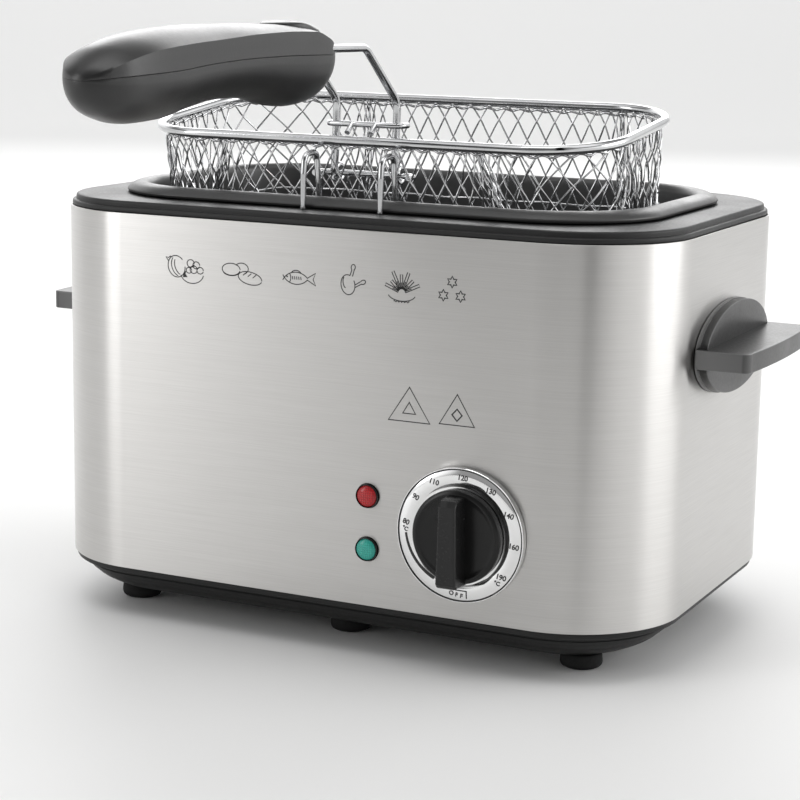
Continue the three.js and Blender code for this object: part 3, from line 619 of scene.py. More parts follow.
def makeLooks():
    plastic = dict(pits=0.25, rub=0.2, Specular_IOR_Level=0.3)
    metal = dict(metallic=1.0, pits=0.1)
    looks = {}
    looks["steel"] = brushedMaterial(
        "brushedSteel", (0.65, 0.64, 0.625, 1), (0.60, 0.59, 0.575, 1), 40, 5200, 0.31, 0.37, 0.002,
        Anisotropic=0.93, Anisotropic_Rotation=0.25,
    )
    looks["innerSteel"] = brushedMaterial(
        "platedSteel", (0.62, 0.62, 0.61, 1), (0.5, 0.5, 0.49, 1), 60, 900, 0.3, 0.5, 0.01
    )
    looks["deck"] = toneMaterial(
        "deckPlastic", shade(0.013), shade(0.018), shade(0.07), smooth=0.36, dull=0.5, grain=1400,
        depth=0.03, **plastic,
    )
    # handle edges painted much lighter: a painted highlight line along the boss edge, partly wear
    looks["handle"] = toneMaterial(
        "handlePlastic", shade(0.009), shade(0.013), shade(0.2), smooth=0.28, dull=0.4, grain=1800,
        depth=0.02, pits=0.25, rub=0.9, Specular_IOR_Level=0.42,
    )
    looks["tray"] = toneMaterial(
        "trayPlastic", shade(0.008), shade(0.011), shade(0.05), smooth=0.35, dull=0.5, grain=1400,
        depth=0.03, **plastic,
    )
    looks["grip"] = toneMaterial(
        "gripPlastic", shade(0.006), shade(0.009), shade(0.06), smooth=0.3, dull=0.4, grain=1500,
        depth=0.015, pits=0.2, rub=0.2, Specular_IOR_Level=0.5, Coat_Weight=0.15,
        Coat_Roughness=0.35,
    )
    looks["knob"] = toneMaterial(
        "knobPlastic", shade(0.006), shade(0.009), shade(0.05), smooth=0.2, dull=0.28, grain=3600,
        depth=0.0015, pits=0.0, rub=0.2, Specular_IOR_Level=0.3,
    )
    # lip edges painted lighter: a painted highlight on the rounded lip, partly wear
    looks["pot"] = toneMaterial(
        "nonStickCoating", shade(0.042), shade(0.05), shade(0.14), rub=0.4, smooth=0.28, dull=0.42,
        grain=2600, pits=0.6, depth=0.02, metallic=0.2,
    )
    looks["rubber"] = toneMaterial(
        "footRubber", shade(0.007), shade(0.011), shade(0.03), smooth=0.7, dull=0.9, grain=1100,
        depth=0.06, **plastic,
    )
    looks["chrome"] = toneMaterial(
        "chromeWire", (0.63, 0.635, 0.64, 1), (0.52, 0.525, 0.535, 1), (0.7, 0.7, 0.71, 1), rub=0.2,
        smooth=0.06, dull=0.16, grain=700, depth=0.01, scale=60, **metal,
    )
    looks["mirror"] = toneMaterial(
        "dialChrome", (0.86, 0.86, 0.86, 1), (0.8, 0.8, 0.8, 1), (0.9, 0.9, 0.9, 1), rub=0.2,
        smooth=0.05, dull=0.12, grain=500, depth=0.003, scale=40, **metal,
    )
    looks["brass"] = toneMaterial(
        "turnedBrass", (0.62, 0.44, 0.19, 1), (0.5, 0.34, 0.14, 1), (0.75, 0.58, 0.3, 1), rub=0.3,
        smooth=0.25, dull=0.45, grain=900, depth=0.01, **metal,
    )
    looks["copper"] = toneMaterial(
        "drawnCopper", (0.72, 0.36, 0.22, 1), (0.5, 0.22, 0.13, 1), (0.85, 0.5, 0.33, 1), rub=0.3,
        smooth=0.22, dull=0.45, grain=900, depth=0.01, **metal,
    )
    looks["white"] = toneMaterial(
        "whitePolymer", (0.76, 0.73, 0.65, 1), (0.68, 0.65, 0.57, 1), (0.85, 0.83, 0.78, 1), rub=0.2,
        smooth=0.35, dull=0.55, grain=1300, pits=0.3, depth=0.02,
    )
    for name, tone in (
        ("brown", (0.13, 0.05, 0.025, 1)),
        ("blue", (0.03, 0.13, 0.42, 1)),
        ("earth", (0.32, 0.42, 0.04, 1)),
    ):
        darker = tuple(0.75 * c for c in tone[:3]) + (1,)
        looks[name] = toneMaterial(
            name + "Sleeve", tone, darker, tone, rub=0.0, smooth=0.4, dull=0.6, grain=1200, pits=0.2,
            depth=0.02,
        )
    looks["red"] = lensMaterial("redLens", (0.66, 0.008, 0.012, 1), (0.26, 0.001, 0.004, 1))
    looks["green"] = lensMaterial("greenLens", (0.05, 0.52, 0.42, 1), (0.01, 0.26, 0.21, 1))
    looks["ink"] = printMaterial()
    return looks


looks = makeLooks()
print("finishes made:", len(looks))


# camera, floor and light

studio = dict(
    lens=96.17, sensor=36.0, place=(0.3692, -0.7045, 0.2506), turn=25.87, down=11.11, roll=0.95,
    floorTones=((0.84, 0.84, 0.835, 1), (0.87, 0.87, 0.865, 1)), farPaintedLightTone=(0.98, 0.98, 0.975, 1),
    floorRings=(0.5, 1.5, 5.0, 30.0, 400.0),
    sky=(
        (0.0, 0.9), (0.17, 0.8), (0.26, 1.0), (0.44, 1.0), (0.50, 0.3), (0.68, 0.25), (0.78, 1.0),
        (1.0, 0.9),
    ),
    # the same behind the object, where the dark band is higher
    backSky=(
        (0.0, 0.9), (0.17, 0.85), (0.26, 1.0), (0.45, 1.3), (0.6, 1.3), (0.68, 0.35), (0.85, 0.3),
        (0.95, 0.9),
    ),
    skyStrength=0.92,
    # compass angle and brightness, all round the room
    walls=(
        (-180, 0.95), (-164, 1.0), (-150, 1.15), (-135, 1.3), (-124, 1.35), (-119, 0.95), (-115, 0.34),
        (-100, 0.36), (-75, 0.42), (-66, 0.42), (-63, 0.0), (-54, 0.0), (-50, 0.42), (-40, 0.8),
        (-25, 1.35), (0, 1.7), (30, 1.7), (50, 1.4), (72, 0.85), (85, 0.85), (95, 1.2), (120, 1.6),
        (150, 1.3), (180, 0.95),
    ),
    # name, compass angle, distance, height, size, power
    lights=(
        ("leftLight", -135, 1.9, 0.8, (0.6, 1.2), 6), ("rightLight", 25, 1.9, 0.8, (1.4, 1.0), 9),
        ("backLight", 112, 2.0, 1.1, (1.8, 0.9), 14), ("topLight", -100, 0.4, 1.9, (1.0, 0.8), 5),
    ),
)


def makeCamera():
    camera = bpy.data.objects.new("camera", bpy.data.cameras.new("camera"))
    scene.collection.objects.link(camera)
    camera.data.lens = studio["lens"]
    camera.data.sensor_width = studio["sensor"]
    camera.data.clip_start, camera.data.clip_end = 0.01, 1000
    turn, down, roll = (math.radians(studio[k]) for k in ("turn", "down", "roll"))
    aim = Matrix.Rotation(turn, 4, "Z") @ Matrix.Rotation(math.pi / 2 - down, 4, "X")
    camera.matrix_world = Matrix.Translation(studio["place"]) @ aim @ Matrix.Rotation(roll, 4, "Z")
    scene.camera = camera


def makeFloor():
    points = [(0, 0, 0)]
    rings, spokes = studio["floorRings"], 64
    faces = []
    for i, radius in enumerate(rings):
        for k in range(spokes):
            angle = 2 * math.pi * k / spokes
            points.append((radius * math.cos(angle) / mm, radius * math.sin(angle) / mm, 0))
            j = (k + 1) % spokes
            if i == 0:
                faces.append((0, 1 + k, 1 + j))
            else:
                inner, outer = 1 + (i - 1) * spokes, 1 + i * spokes
                faces.append((inner + k, outer + k, outer + j, inner + j))
    floor = newPiece("floor", points, faces)
    look, tree, shader = newMaterial("paleFloor")
    place = objectPlace(tree)
    cloud = noiseValue(tree, place, 3.0, 2.0)
    near = mixColours(tree, cloud, *studio["floorTones"])
    # the floor is painted lighter away from the object: painted light that makes up for the light
    # falling off there
    far = mapped(tree, vectorMaths(tree, "LENGTH", place), 0.6, 3.0, 0.0, 1.0)
    tone = mixColours(tree, far, near, studio["farPaintedLightTone"])
    tree.links.new(tone, shader.inputs["Base Color"])
    shader.inputs["Roughness"].default_value = 0.6
    floor.data.materials.append(look)


def makeLight(name, place, target, size, power):
    lamp = bpy.data.lights.new(name, "AREA")
    lamp.shape = "RECTANGLE"
    lamp.size, lamp.size_y = size
    lamp.energy = power
    light = bpy.data.objects.new(name, lamp)
    scene.collection.objects.link(light)
    light.location = place
    aim = Vector(target) - Vector(place)
    light.rotation_euler = aim.to_track_quat("-Z", "Y").to_euler()


def greyRamp(tree, value, stops):
    ramp = addNode(tree, "ShaderNodeValToRGB", {"Fac": value})
    band = ramp.color_ramp
    while len(band.elements) < len(stops):
        band.elements.new(0.5)
    for element, (spot, grey) in zip(band.elements, stops):
        element.position = spot
        element.color = (grey, grey, grey, 1)
    return ramp.outputs["Color"]


def makeWorld():
    # a pale room with bright walls and dark bands, which the bright metal shows
    world = bpy.data.worlds.new("studio")
    scene.world = world
    world.use_nodes = True
    tree = world.node_tree
    background = tree.nodes["Background"]
    way = addNode(tree, "ShaderNodeTexCoord").outputs["Generated"]
    split = addNode(tree, "ShaderNodeSeparateXYZ", {"Vector": way})
    height = mapped(tree, split.outputs["Z"], -0.2, 1.0, 0.0, 1.0)
    angle = maths(tree, "ARCTAN2", split.outputs["Y"], split.outputs["X"])
    turn = mapped(tree, angle, -math.pi, math.pi, 0.0, 1.0)
    walls = [((degrees + 180) / 360, value) for degrees, value in studio["walls"]]
    behind = mapped(tree, split.outputs["Y"], 0.0, 0.35, 0.0, 1.0)
    front, back = (greyRamp(tree, height, studio[key]) for key in ("sky", "backSky"))
    sky = mixColours(tree, behind, front, back)
    both = vectorMaths(tree, "MULTIPLY", sky, greyRamp(tree, turn, walls))
    tree.links.new(both, background.inputs["Color"])
    background.inputs["Strength"].default_value = studio["skyStrength"]


def makeStudio():
    makeCamera()
    makeFloor()
    makeWorld()
    for name, angle, distance, height, size, power in studio["lights"]:
        turn = math.radians(angle)
        place = (distance * math.cos(turn), distance * math.sin(turn), height)
        makeLight(name, place, (0, 0.07, 0.1), size, power)
    scene.view_settings.view_transform = "Standard"


makeStudio()
print("studio made")


# housing

shellLow, shellHigh = nodeBox("outer_shell")
middle = (shellLow + shellHigh) / 2
frontY, backY = shellLow[1], shellHigh[1]
housing = dict(
    corner=44.0, wall=0.8, edge=0.3, sideScrewHole=2.2,
    frontHoles=(
        ("power_lamp_sleeve", 4.8), ("ready_lamp_sleeve", 4.8), ("thermostat_spindle", 5.0),
        ("thermostat_screw_left", 1.9), ("thermostat_screw_right", 1.9),
    ),
    glandHole=7.0,
)
outline = (shellHigh[0] - shellLow[0], backY - frontY, housing["corner"])


def pinCutter(node, radius, reach, axis):
    # a rod through the wall where a node passes it
    place = nodeMiddle(node)
    place["xyz".index(axis)] = reach
    return turned("cutter", [(0, -8), (radius, -8), (radius, 8), (0, 8)], place, axis, 32)


def makeShell():
    low, high, wall = shellLow[2], shellHigh[2], housing["wall"]
    levels = [
        inwards(outline, 0, low), inwards(outline, 0, high),
        inwards(outline, wall, high), inwards(outline, wall, low),
    ]
    edges = [housing["edge"]] * 4
    shell = wallStack("steel_wrap", levels, edges, middle, closed=True, steps=28, bend=3)
    cutters = [pinCutter(node, radius, frontY, "y") for node, radius in housing["frontHoles"]]
    cutters.append(pinCutter("cord_gland", housing["glandHole"], backY, "y"))
    for side, reach in (("left", shellLow[0]), ("right", shellHigh[0])):
        for end in ("front", "rear"):
            node = f"side_screw_{side}_{end}"
            cutters.append(pinCutter(node, housing["sideScrewHole"], reach, "x"))
    combine(shell, cutters, "DIFFERENCE")
    finishPiece(rounded(shell), "root", ["outer_shell"], looks["steel"])


deckShape = dict(
    lip=0.8, lipTop=163.3, groove=2.3, potOpening=(214.0, 131.6, 39.6), collar=2.4, skirt=3.6,
    skirtOuter=1.4, thickness=2.6,
)


def makeDeck():
    low, high = nodeBox("top_frame")
    opening = deckShape["potOpening"]
    under = high[2] - deckShape["thickness"]
    start = shellHigh[2] + 0.3
    levels = [
        inwards(outline, deckShape["lip"], start),
        inwards(outline, deckShape["lip"], deckShape["lipTop"]),
        inwards(outline, deckShape["groove"], deckShape["lipTop"]),
        inwards(outline, deckShape["groove"], high[2]),
        inwards(opening, 0, high[2]),
        inwards(opening, 0, low[2]),
        inwards(opening, -deckShape["collar"], low[2]),
        inwards(opening, -deckShape["collar"], under),
        inwards(outline, deckShape["skirt"], under),
        inwards(outline, deckShape["skirt"], low[2]),
        inwards(outline, deckShape["skirtOuter"], low[2]),
        inwards(outline, deckShape["skirtOuter"], start),
    ]
    radii = [0.2, 0.9, 0.3, 1.1, 0.5, 0.3, 0.3, 0.6, 0.6, 0.3, 0.3, 0.1]
    deck = wallStack("deck_frame", levels, radii, middle, closed=True, steps=28)
    finishPiece(rounded(deck), "root", ["top_frame"], looks["deck"])


trayShape = dict(
    # inset from the steel's outline, and height
    bowl=((21, 6), (18, 6.7), (12.5, 9), (7.5, 12.5), (5, 15.5), (4.4, 17.2)),
    inside=((7.5, 18.6), (10.5, 13), (15.5, 10), (21, 8.5)), slot=(26.0, 3.0), slotRow=30.0,
    slotSpots=(-34, 0, 34), screwHole=1.95, footHole=2.9, cutTop=12,
)


footNodes = [f"foot_{row}_{spot}" for row in ("front", "rear") for spot in ("left", "middle", "right")]


def makeTray():
    shellBottom = shellLow[2]
    flangeTop = shellBottom - 0.3
    levels = [inwards(outline, amount, z) for amount, z in trayShape["bowl"]]
    rim = [
        (1.0, flangeTop - 2.1), (1.0, flangeTop), (1.7, flangeTop), (1.7, shellBottom + 4),
        (3.7, shellBottom + 4), (3.7, shellBottom - 0.4),
    ]
    levels += [inwards(outline, amount, z) for amount, z in rim]
    levels += [inwards(outline, amount, z) for amount, z in trayShape["inside"]]
    radii = [0, 2, 4, 4, 2.5, 0.3, 0.8, 0.1, 0.1, 0.5, 0.5, 0.5, 1.5, 3, 3, 0]
    tray = wallStack("base_tray_moulding", levels, radii, middle, steps=24)
    cutters = []
    length, width = trayShape["slot"]
    top = trayShape["cutTop"]
    for row in (-1, 1):
        for x in trayShape["slotSpots"]:
            y = middle[1] + row * trayShape["slotRow"]
            slot = [roundedBox(length, width, width / 2 - 0.01, z, (x, y), 6) for z in (0, top)]
            cutters.append(loft("slot", slot))
    screws = [f"base_screw_{side}_{end}" for side in ("left", "right") for end in ("front", "rear")]
    holes = [(screw, trayShape["screwHole"]) for screw in screws]
    holes += [(foot, trayShape["footHole"]) for foot in footNodes]
    for node, radius in holes:
        x, y = nodeMiddle(node)[:2]
        profile = [(0, 0), (radius, 0), (radius, top), (0, top)]
        cutters.append(turned("hole", profile, (x, y, 0), "z", 24))
    combine(tray, cutters, "DIFFERENCE")
    finishPiece(rounded(tray), "root", ["base_tray"], looks["tray"])


footShape = dict(sole=7.0, radius=8.2, top=5.7, stem=2.6, tip=11.5)


def makeFeet():
    profile = roundOff(
        [
            (0, 0), (footShape["sole"], 0), (footShape["radius"], 1.6),
            (footShape["radius"] - 0.5, footShape["top"]), (footShape["stem"], footShape["top"]),
            (footShape["stem"], 8.8), (3.7, 9.0), (1.6, footShape["tip"]), (0, footShape["tip"]),
        ],
        [0, 1.2, 1.2, 0.8, 0.3, 0.1, 0.3, 0.3, 0],
        closed=False,
        steps=3,
    )
    for node in footNodes:
        x, y = nodeMiddle(node)[:2]
        foot = rounded(turned(node + "_rubber", profile, (x, y, 0), "z", 40))
        finishPiece(foot, "root", [node], looks["rubber"])


sideShape = dict(
    half=(39.0, 17.3), flange=0.3, flangeThick=1.6, edge=0.4, face=4.5, plateHalf=40.0, bow=1.6,
    corner=3.2, plateThick=7.2, plateEdge=0.45,
)


def makeSideHandle(side, sign):
    low, high = nodeBox(f"side_handle_{side}")
    y, z = (low[1] + high[1]) / 2, (low[2] + high[2]) / 2
    wall = high[0] if sign < 0 else low[0]
    reach = abs((low[0] if sign < 0 else high[0]) - wall)
    half, flange, edge = sideShape["half"], sideShape["flange"], sideShape["edge"]
    face = sideShape["face"]

    def oval(grow, out):
        ring = []
        for k in range(96):
            angle = 2 * math.pi * k / 96
            across = y + (half[0] + grow) * math.cos(angle)
            ring.append((wall + sign * out, across, z + (half[1] + grow) * math.sin(angle)))
        return ring

    steps = roundOff(
        [
            (flange, 0), (flange, sideShape["flangeThick"]), (0, sideShape["flangeThick"]),
            (0, face), (-6, face),
        ],
        [0, 0.4, 0.2, edge, 0],
        closed=False,
        steps=4,
    )
    boss = loft(f"side_grip_{side}", [oval(grow, out) for grow, out in steps])
    bow, corner, plateHalf = sideShape["bow"], sideShape["corner"], sideShape["plateHalf"]
    squareX = reach - bow
    plan = [(0.6, -plateHalf)]

    def sweep(start, control, end, count):
        for k in range(count + 1):
            t = k / count
            near, bend, far = (1 - t) ** 2, 2 * t * (1 - t), t**2
            spot = [near * a + bend * b + far * c for a, b, c in zip(start, control, end)]
            plan.append(tuple(spot))

    inset = sideShape["plateEdge"]
    sweep((squareX - corner, -plateHalf), (squareX, -plateHalf), (squareX, corner - plateHalf), 8)
    sweep(
        (squareX + 0.02, corner - plateHalf + 0.6),
        (reach + bow - 0.06, 0),
        (squareX + 0.02, plateHalf - corner - 0.6),
        14,
    )
    sweep((squareX, plateHalf - corner), (squareX, plateHalf), (squareX - corner, plateHalf), 8)
    plan.append((0.6, plateHalf))
    thick = sideShape["plateThick"]
    levels = roundOff(
        [(-2.0, 0), (0, 0), (0, thick), (-2.0, thick)], [0, inset, inset, 0], closed=False, steps=4
    )
    rings = []
    for grow, rise in levels:
        ring = grownOutline(plan, grow)
        rings.append([(wall + sign * a, y + b, z - thick / 2 + rise) for a, b in ring])
    plate = loft("plate", rings)
    combine(boss, [plate], "UNION")
    finishPiece(rounded(boss), "root", [f"side_handle_{side}"], looks["handle"])


potShape = dict(
    inside=(207.0, 124.6, 36.0), lip=(226.5, 141.2, 42.0), crest=(213.6, 130.4, 38.6), wall=1.5,
    lipEdge=166.0, bend=9.0,
)


def makePot():
    low, high = nodeBox("oil_pot")
    inside, lip, crest = potShape["inside"], potShape["lip"], potShape["crest"]
    wall, edge, top = potShape["wall"], potShape["lipEdge"], high[2]
    floor = low[2] + wall
    levels = [
        inwards(inside, 14, low[2]),
        inwards(inside, -wall, low[2]),
        inwards(inside, -wall, edge + 0.9),
        inwards(lip, 1.4, edge + 0.9),
        inwards(lip, 0.6, edge),
        inwards(lip, 0, edge + 1.2),
        inwards(lip, 2.2, top - 1.0),
        inwards(crest, 0, top + 0.35),
        inwards(crest, 2.6, top - 1.6),
        inwards(inside, 0, top - 9),
        inwards(inside, 0, floor),
        inwards(inside, 15.5, floor),
    ]
    radii = [0, 9.0, 0.5, 0.3, 0.4, 0.7, 1.9, 1.9, 1.6, 4.0, 8.0, 0]
    pot = wallStack("oil_pan", levels, radii, middle, steps=28, bend=6)
    finishPiece(rounded(pot), "root", ["oil_pot"], looks["pot"])


makeShell()
makeDeck()
makeTray()
makeFeet()
makeSideHandle("left", -1)
makeSideHandle("right", 1)
makePot()
print("housing made")


# dial and lamps

dialShape = dict(
    knobRadius=17.5, ringOuter=25.2, grooveAt=24.6, bar=(7.4, 15.6, -17.4), crest=21.3,
    dome=0.055, ringRise=3.28, spindleHole=3.4, bore=(3.3, 7.6), barTaper=0.006,
)
dialMiddle = nodeMiddle("dial_bezel")


def ringDrop(radius):
    # how far the bright ring's face falls back from its crest
    return dialShape["dome"] * (radius - dialShape["crest"]) ** 2


def makeBezel():
    crest = frontY - dialShape["ringRise"]
    outer, groove, hole = (dialShape[key] for key in ("ringOuter", "grooveAt", "spindleHole"))
    dome = [(r, crest + ringDrop(r)) for r in np.linspace(groove - 0.35, 18.2, 12)]
    profile = [
        (hole, frontY - 2.4), (22, frontY - 2.4), (22, frontY - 0.3), (outer, frontY - 0.3),
        (outer, frontY - 2.95), (outer - 0.12, frontY - 3.1), (groove + 0.24, frontY - 3.1),
        (groove + 0.2, frontY - 2.55), (groove - 0.22, frontY - 2.55), *dome,
        (17.9, frontY - 2.8), (hole, frontY - 2.8),
    ]
    place = (dialMiddle[0], 0, dialMiddle[2])
    bezel = rounded(turned("dial_ring", profile, place, "y", 128), 28)
    finishPiece(bezel, "root", ["dial_bezel"], looks["mirror"])


def makeKnob():
    low, high = nodeBox("temperature_knob")
    radius = dialShape["knobRadius"]
    back, front = high[1], low[1]
    profile = roundOff(
        [
            (0, back), (radius - 0.4, back), (radius, back - 0.5), (radius, back - 2.9),
            (radius - 1.6, back - 3.6), (radius - 3.2, back - 3.2), (0, back - 2.9),
        ],
        [0, 0.2, 0.2, 0.5, 0.6, 0.6, 0],
        closed=False,
        steps=4,
    )
    place = (dialMiddle[0], 0, dialMiddle[2])
    knob = turned("dial_knob_moulding", profile, place, "y", 96)
    width, topEnd, lowEnd = dialShape["bar"]
    side = [
        (back - 1, topEnd), (back - 6.4, topEnd), (front + 1.6, topEnd - 0.6), (front, topEnd - 2.6),
        (front, lowEnd + 1.4), (front + 1.2, lowEnd), (back - 1, lowEnd),
    ]
    rings = []
    for x, grow in ((-width / 2, -0.7), (-width / 2 + 0.25, -0.25), (-width / 2 + 0.8, 0)):
        rings.append((x, grow))
    rings += [(-x, grow) for x, grow in reversed(rings)]
    sections = []
    taper = dialShape["barTaper"]
    for x, grow in rings:
        shape = grownOutline(side, grow)
        sections.append([(place[0] + x * (1 - taper * b), a, place[2] + b) for a, b in shape])
    bar = loft("bar", sections)
    hole, deep = dialShape["bore"]
    bore = [(0, back - deep), (hole, back - deep), (hole, back + 1), (0, back + 1)]
    bore = turned("bore", bore, place, "y", 32)
    combine(knob, [bar], "UNION")
    combine(knob, [bore], "DIFFERENCE")
    finishPiece(rounded(knob, 24), "dial_knob", ["temperature_knob"], looks["knob"])


inkThickness, inkGap = 0.05, 0.005


def ribbon(line, width, closed=False):
    # the two edges of a flat printed stroke that runs along (x, z) points
    points = np.asarray(line, float)
    if closed:
        along = np.roll(points, -1, 0) - np.roll(points, 1, 0)
    else:
        along = np.gradient(points, axis=0)
    normals = np.stack([-along[:, 1], along[:, 0]], 1)
    normals /= np.maximum(np.linalg.norm(normals, axis=1), 1e-9)[:, None]
    left, right = points + normals * width / 2, points - normals * width / 2
    return left, right


def inkStroke(line, width, y, closed=False):
    left, right = ribbon(line, width, closed)
    count = len(line)
    front, back = y - inkThickness, y - inkGap
    points = []
    for side, depth in ((left, front), (right, front), (right, back), (left, back)):
        points.extend((a, depth, b) for a, b in side)
    faces = []
    for i in range(count if closed else count - 1):
        j = (i + 1) % count
        for lane in range(4):
            near, far = lane * count, (lane + 1) % 4 * count
            faces.append((near + i, near + j, far + j, far + i))
    if not closed:
        faces.append((0, count, 2 * count, 3 * count))
        faces.append((4 * count - 1, 3 * count - 1, 2 * count - 1, count - 1))
    return pointOutwards(newPiece("stroke", points, faces))


def inkFill(outline, y):
    return prism("fill", outline, y - inkThickness, y - inkGap, "y")


def arcLine(centre, radii, start, end, steps=20, tilt=0.0):
    line = []
    tip = math.radians(tilt)
    for k in range(steps + 1):
        angle = math.radians(start + (end - start) * k / steps)
        a, b = radii[0] * math.cos(angle), radii[1] * math.sin(angle)
        x = centre[0] + a * math.cos(tip) - b * math.sin(tip)
        line.append((x, centre[1] + a * math.sin(tip) + b * math.cos(tip)))
    return line


def letters(text, size, place, turn, y):
    curve = bpy.data.curves.new("label", "FONT")
    curve.body = text
    curve.size = size * mm
    curve.align_x, curve.align_y = "CENTER", "CENTER"
    curve.extrude = dialPrint["letterDepth"] * mm
    curve.offset = dialPrint["letterSwell"] * mm
    label = bpy.data.objects.new("label", curve)
    scene.collection.objects.link(label)
    textMesh = bpy.data.meshes.new_from_object(label)
    bpy.data.objects.remove(label)
    stand = Matrix.Rotation(math.pi / 2, 4, "X") @ Matrix.Rotation(math.radians(turn), 4, "Z")
    spot = Vector((place[0], y, place[1])) * mm
    textMesh.transform(Matrix.Translation(spot) @ stand)
    piece = bpy.data.objects.new("label", textMesh)
    scene.collection.objects.link(piece)
    return piece


dialPrint = dict(
    # number, angle on the ring, lean
    scale=(
        ("80", 173, -18), ("90", 145, -25), ("110", 119, -12), ("120", 87.5, -6), ("130", 56, -12),
        ("140", 27, -12), ("160", -4, -8), ("190", -38.5, -12),
    ),
    band=21.6, size=2.75,
    # which number has a degree sign under it, and where
    degrees={"80": (-0.3, -2.6), "190": (-1.5, -2.4)}, degreeSize=0.8,
    # text, distance right of and above the dial's middle, size, lean
    off=(("O", -2.6, -21.9, 2.3, -10), ("F", -0.5, -22.3, 2.3, -10), ("F", 1.4, -22.6, 2.3, -10)),
    bracket=(((-1.0, -20.5), (3.6, -20.5)), ((3.4, -20.5), (3.4, -23.4))), bracketStroke=0.45,
    # angle and radius at both ends of the arc, and its width there
    arc=((183.7, 21.4), (240.8, 19.7)), arcStroke=(0.9, 1.25), grooveShadeStroke=0.42,
    letterDepth=0.025, letterSwell=0.07, letterLift=0.07,
)


def makeDialPrint():
    y = frontY - dialShape["ringRise"] - 0.02
    x, z = dialMiddle[0], dialMiddle[2]
    size = dialPrint["size"]
    marks = list(dialPrint["off"])
    for text, angle, lean in dialPrint["scale"]:
        turn = math.radians(angle)
        dx, dz = dialPrint["band"] * math.cos(turn), dialPrint["band"] * math.sin(turn)
        marks.append((text, dx, dz, size, lean))
        if text in dialPrint["degrees"]:
            right, up = dialPrint["degrees"][text]
            marks.append(("°C", dx + right, dz + up, size * dialPrint["degreeSize"], lean))
    front = y - dialPrint["letterLift"]
    parts = [letters(text, big, (x + dx, z + dz), lean, front) for text, dx, dz, big, lean in marks]
    (start, startRadius), (end, endRadius) = dialPrint["arc"]
    sweep = []
    for k in range(41):
        turn = math.radians(start + (end - start) * k / 40)
        radius = startRadius + (endRadius - startRadius) * k / 40
        sweep.append((x + radius * math.cos(turn), z + radius * math.sin(turn)))
    parts.append(inkStroke(sweep, np.linspace(*dialPrint["arcStroke"], 41)[:, None], y))
    for start, end in dialPrint["bracket"]:
        line = np.linspace(start, end, 9) + (x, z)
        parts.append(inkStroke(line, dialPrint["bracketStroke"], y))
    # a dark ink ring laid into the bezel's groove: painted shade in the groove, not print
    groove = arcLine((x, z), [dialShape["grooveAt"]] * 2, 0, 357, 119)
    parts.append(inkStroke(groove, dialPrint["grooveShadeStroke"], y, closed=True))
    printed = joinMeshes("dial_print_and_groove_shade", parts)
    for vertex in printed.data.vertices:
        radius = math.hypot(vertex.co.x / mm - x, vertex.co.z / mm - z)
        vertex.co.y += ringDrop(radius) * mm
    finishPiece(printed, "root", [], looks["ink"])


lampShape = dict(lens=4.05, shank=3.6, barrel=4.35, flange=4.5)


def makeLamps():
    for name, tone in (("power", "red"), ("ready", "green")):
        x, _, z = nodeMiddle(f"{name}_lamp_sleeve")
        lens, shank, barrel, flange = lampShape.values()
        sleeve = roundOff(
            [
                (shank + 0.1, frontY + 0.6), (lens + 0.1, frontY + 0.6), (lens + 0.1, frontY - 1.2),
                (lens + 0.2, frontY - 1.5), (flange - 0.1, frontY - 1.5),
                (flange, frontY - 0.3), (barrel, frontY - 0.3), (barrel, frontY + 16),
                (1.6, frontY + 16), (1.6, frontY + 9), (shank + 0.1, frontY + 9),
            ],
            [0, 0, 0.1, 0.1, 0.15, 0.1, 0, 0, 0, 0, 0],
            steps=4,
        )
        ring = rounded(turned(f"{name}_lamp_ring", sleeve, (x, 0, z), "y", 64))
        finishPiece(ring, "root", [f"{name}_lamp_sleeve"], looks["knob"])
        dome = [(0, frontY - 2.2), (1.4, frontY - 2.12), (2.7, frontY - 1.85), (3.5, frontY - 1.5)]
        dome += [(3.9, frontY - 1.15), (lens, frontY - 0.6), (lens, frontY + 0.4)]
        dome += [(shank, frontY + 0.4), (shank, frontY + 6), (0, frontY + 6)]
        glass = rounded(turned(f"{name}_lamp_glass", dome, (x, 0, z), "y", 64))
        finishPiece(glass, "root", [f"{name}_lamp_lens"], looks[tone])


makeBezel()
makeKnob()
makeDialPrint()
makeLamps()
print("dial and lamps made")


# printed pictures of food

printShape = dict(stroke=0.36, markStroke=0.7, rowHeight=140.8, marksHeight=98.5)


def onion(x, z):
    yield "line", arcLine((x - 3.6, z + 1.6), (3.9, 4.4), 20, 340, 28, 24)
    yield "line", [(x - 7.2, z + 3.4), (x - 8.6, z + 5.2), (x - 7.4, z + 4.9), (x - 6.2, z + 5.6)]
    yield "line", arcLine((x - 2.6, z + 1.8), (3.2, 4.3), 110, 235, 14, 24)
    yield "line", arcLine((x - 1.0, z + 2.2), (3.4, 4.3), 130, 225, 12, 24)
    berries = ((3.0, 3.2, 1.7), (5.6, 2.6, 1.6), (7.4, 0.6, 1.5), (4.4, 0.8, 1.7), (2.2, 0.4, 1.3))
    for dx, dz, r in berries:
        yield "line", arcLine((x + dx, z + dz), (r, r * 0.9), 0, 345, 14)
    yield "line", arcLine((x + 3.6, z - 0.6), (5.4, 4.2), 195, 350, 18)
    leaf = [(-0.4, -1.0), (1.0, 0.4), (0.6, -1.2), (1.6, -2.4), (-0.6, -2.6)]
    leaf = [(x + dx, z + dz) for dx, dz in leaf]
    yield "fill", leaf


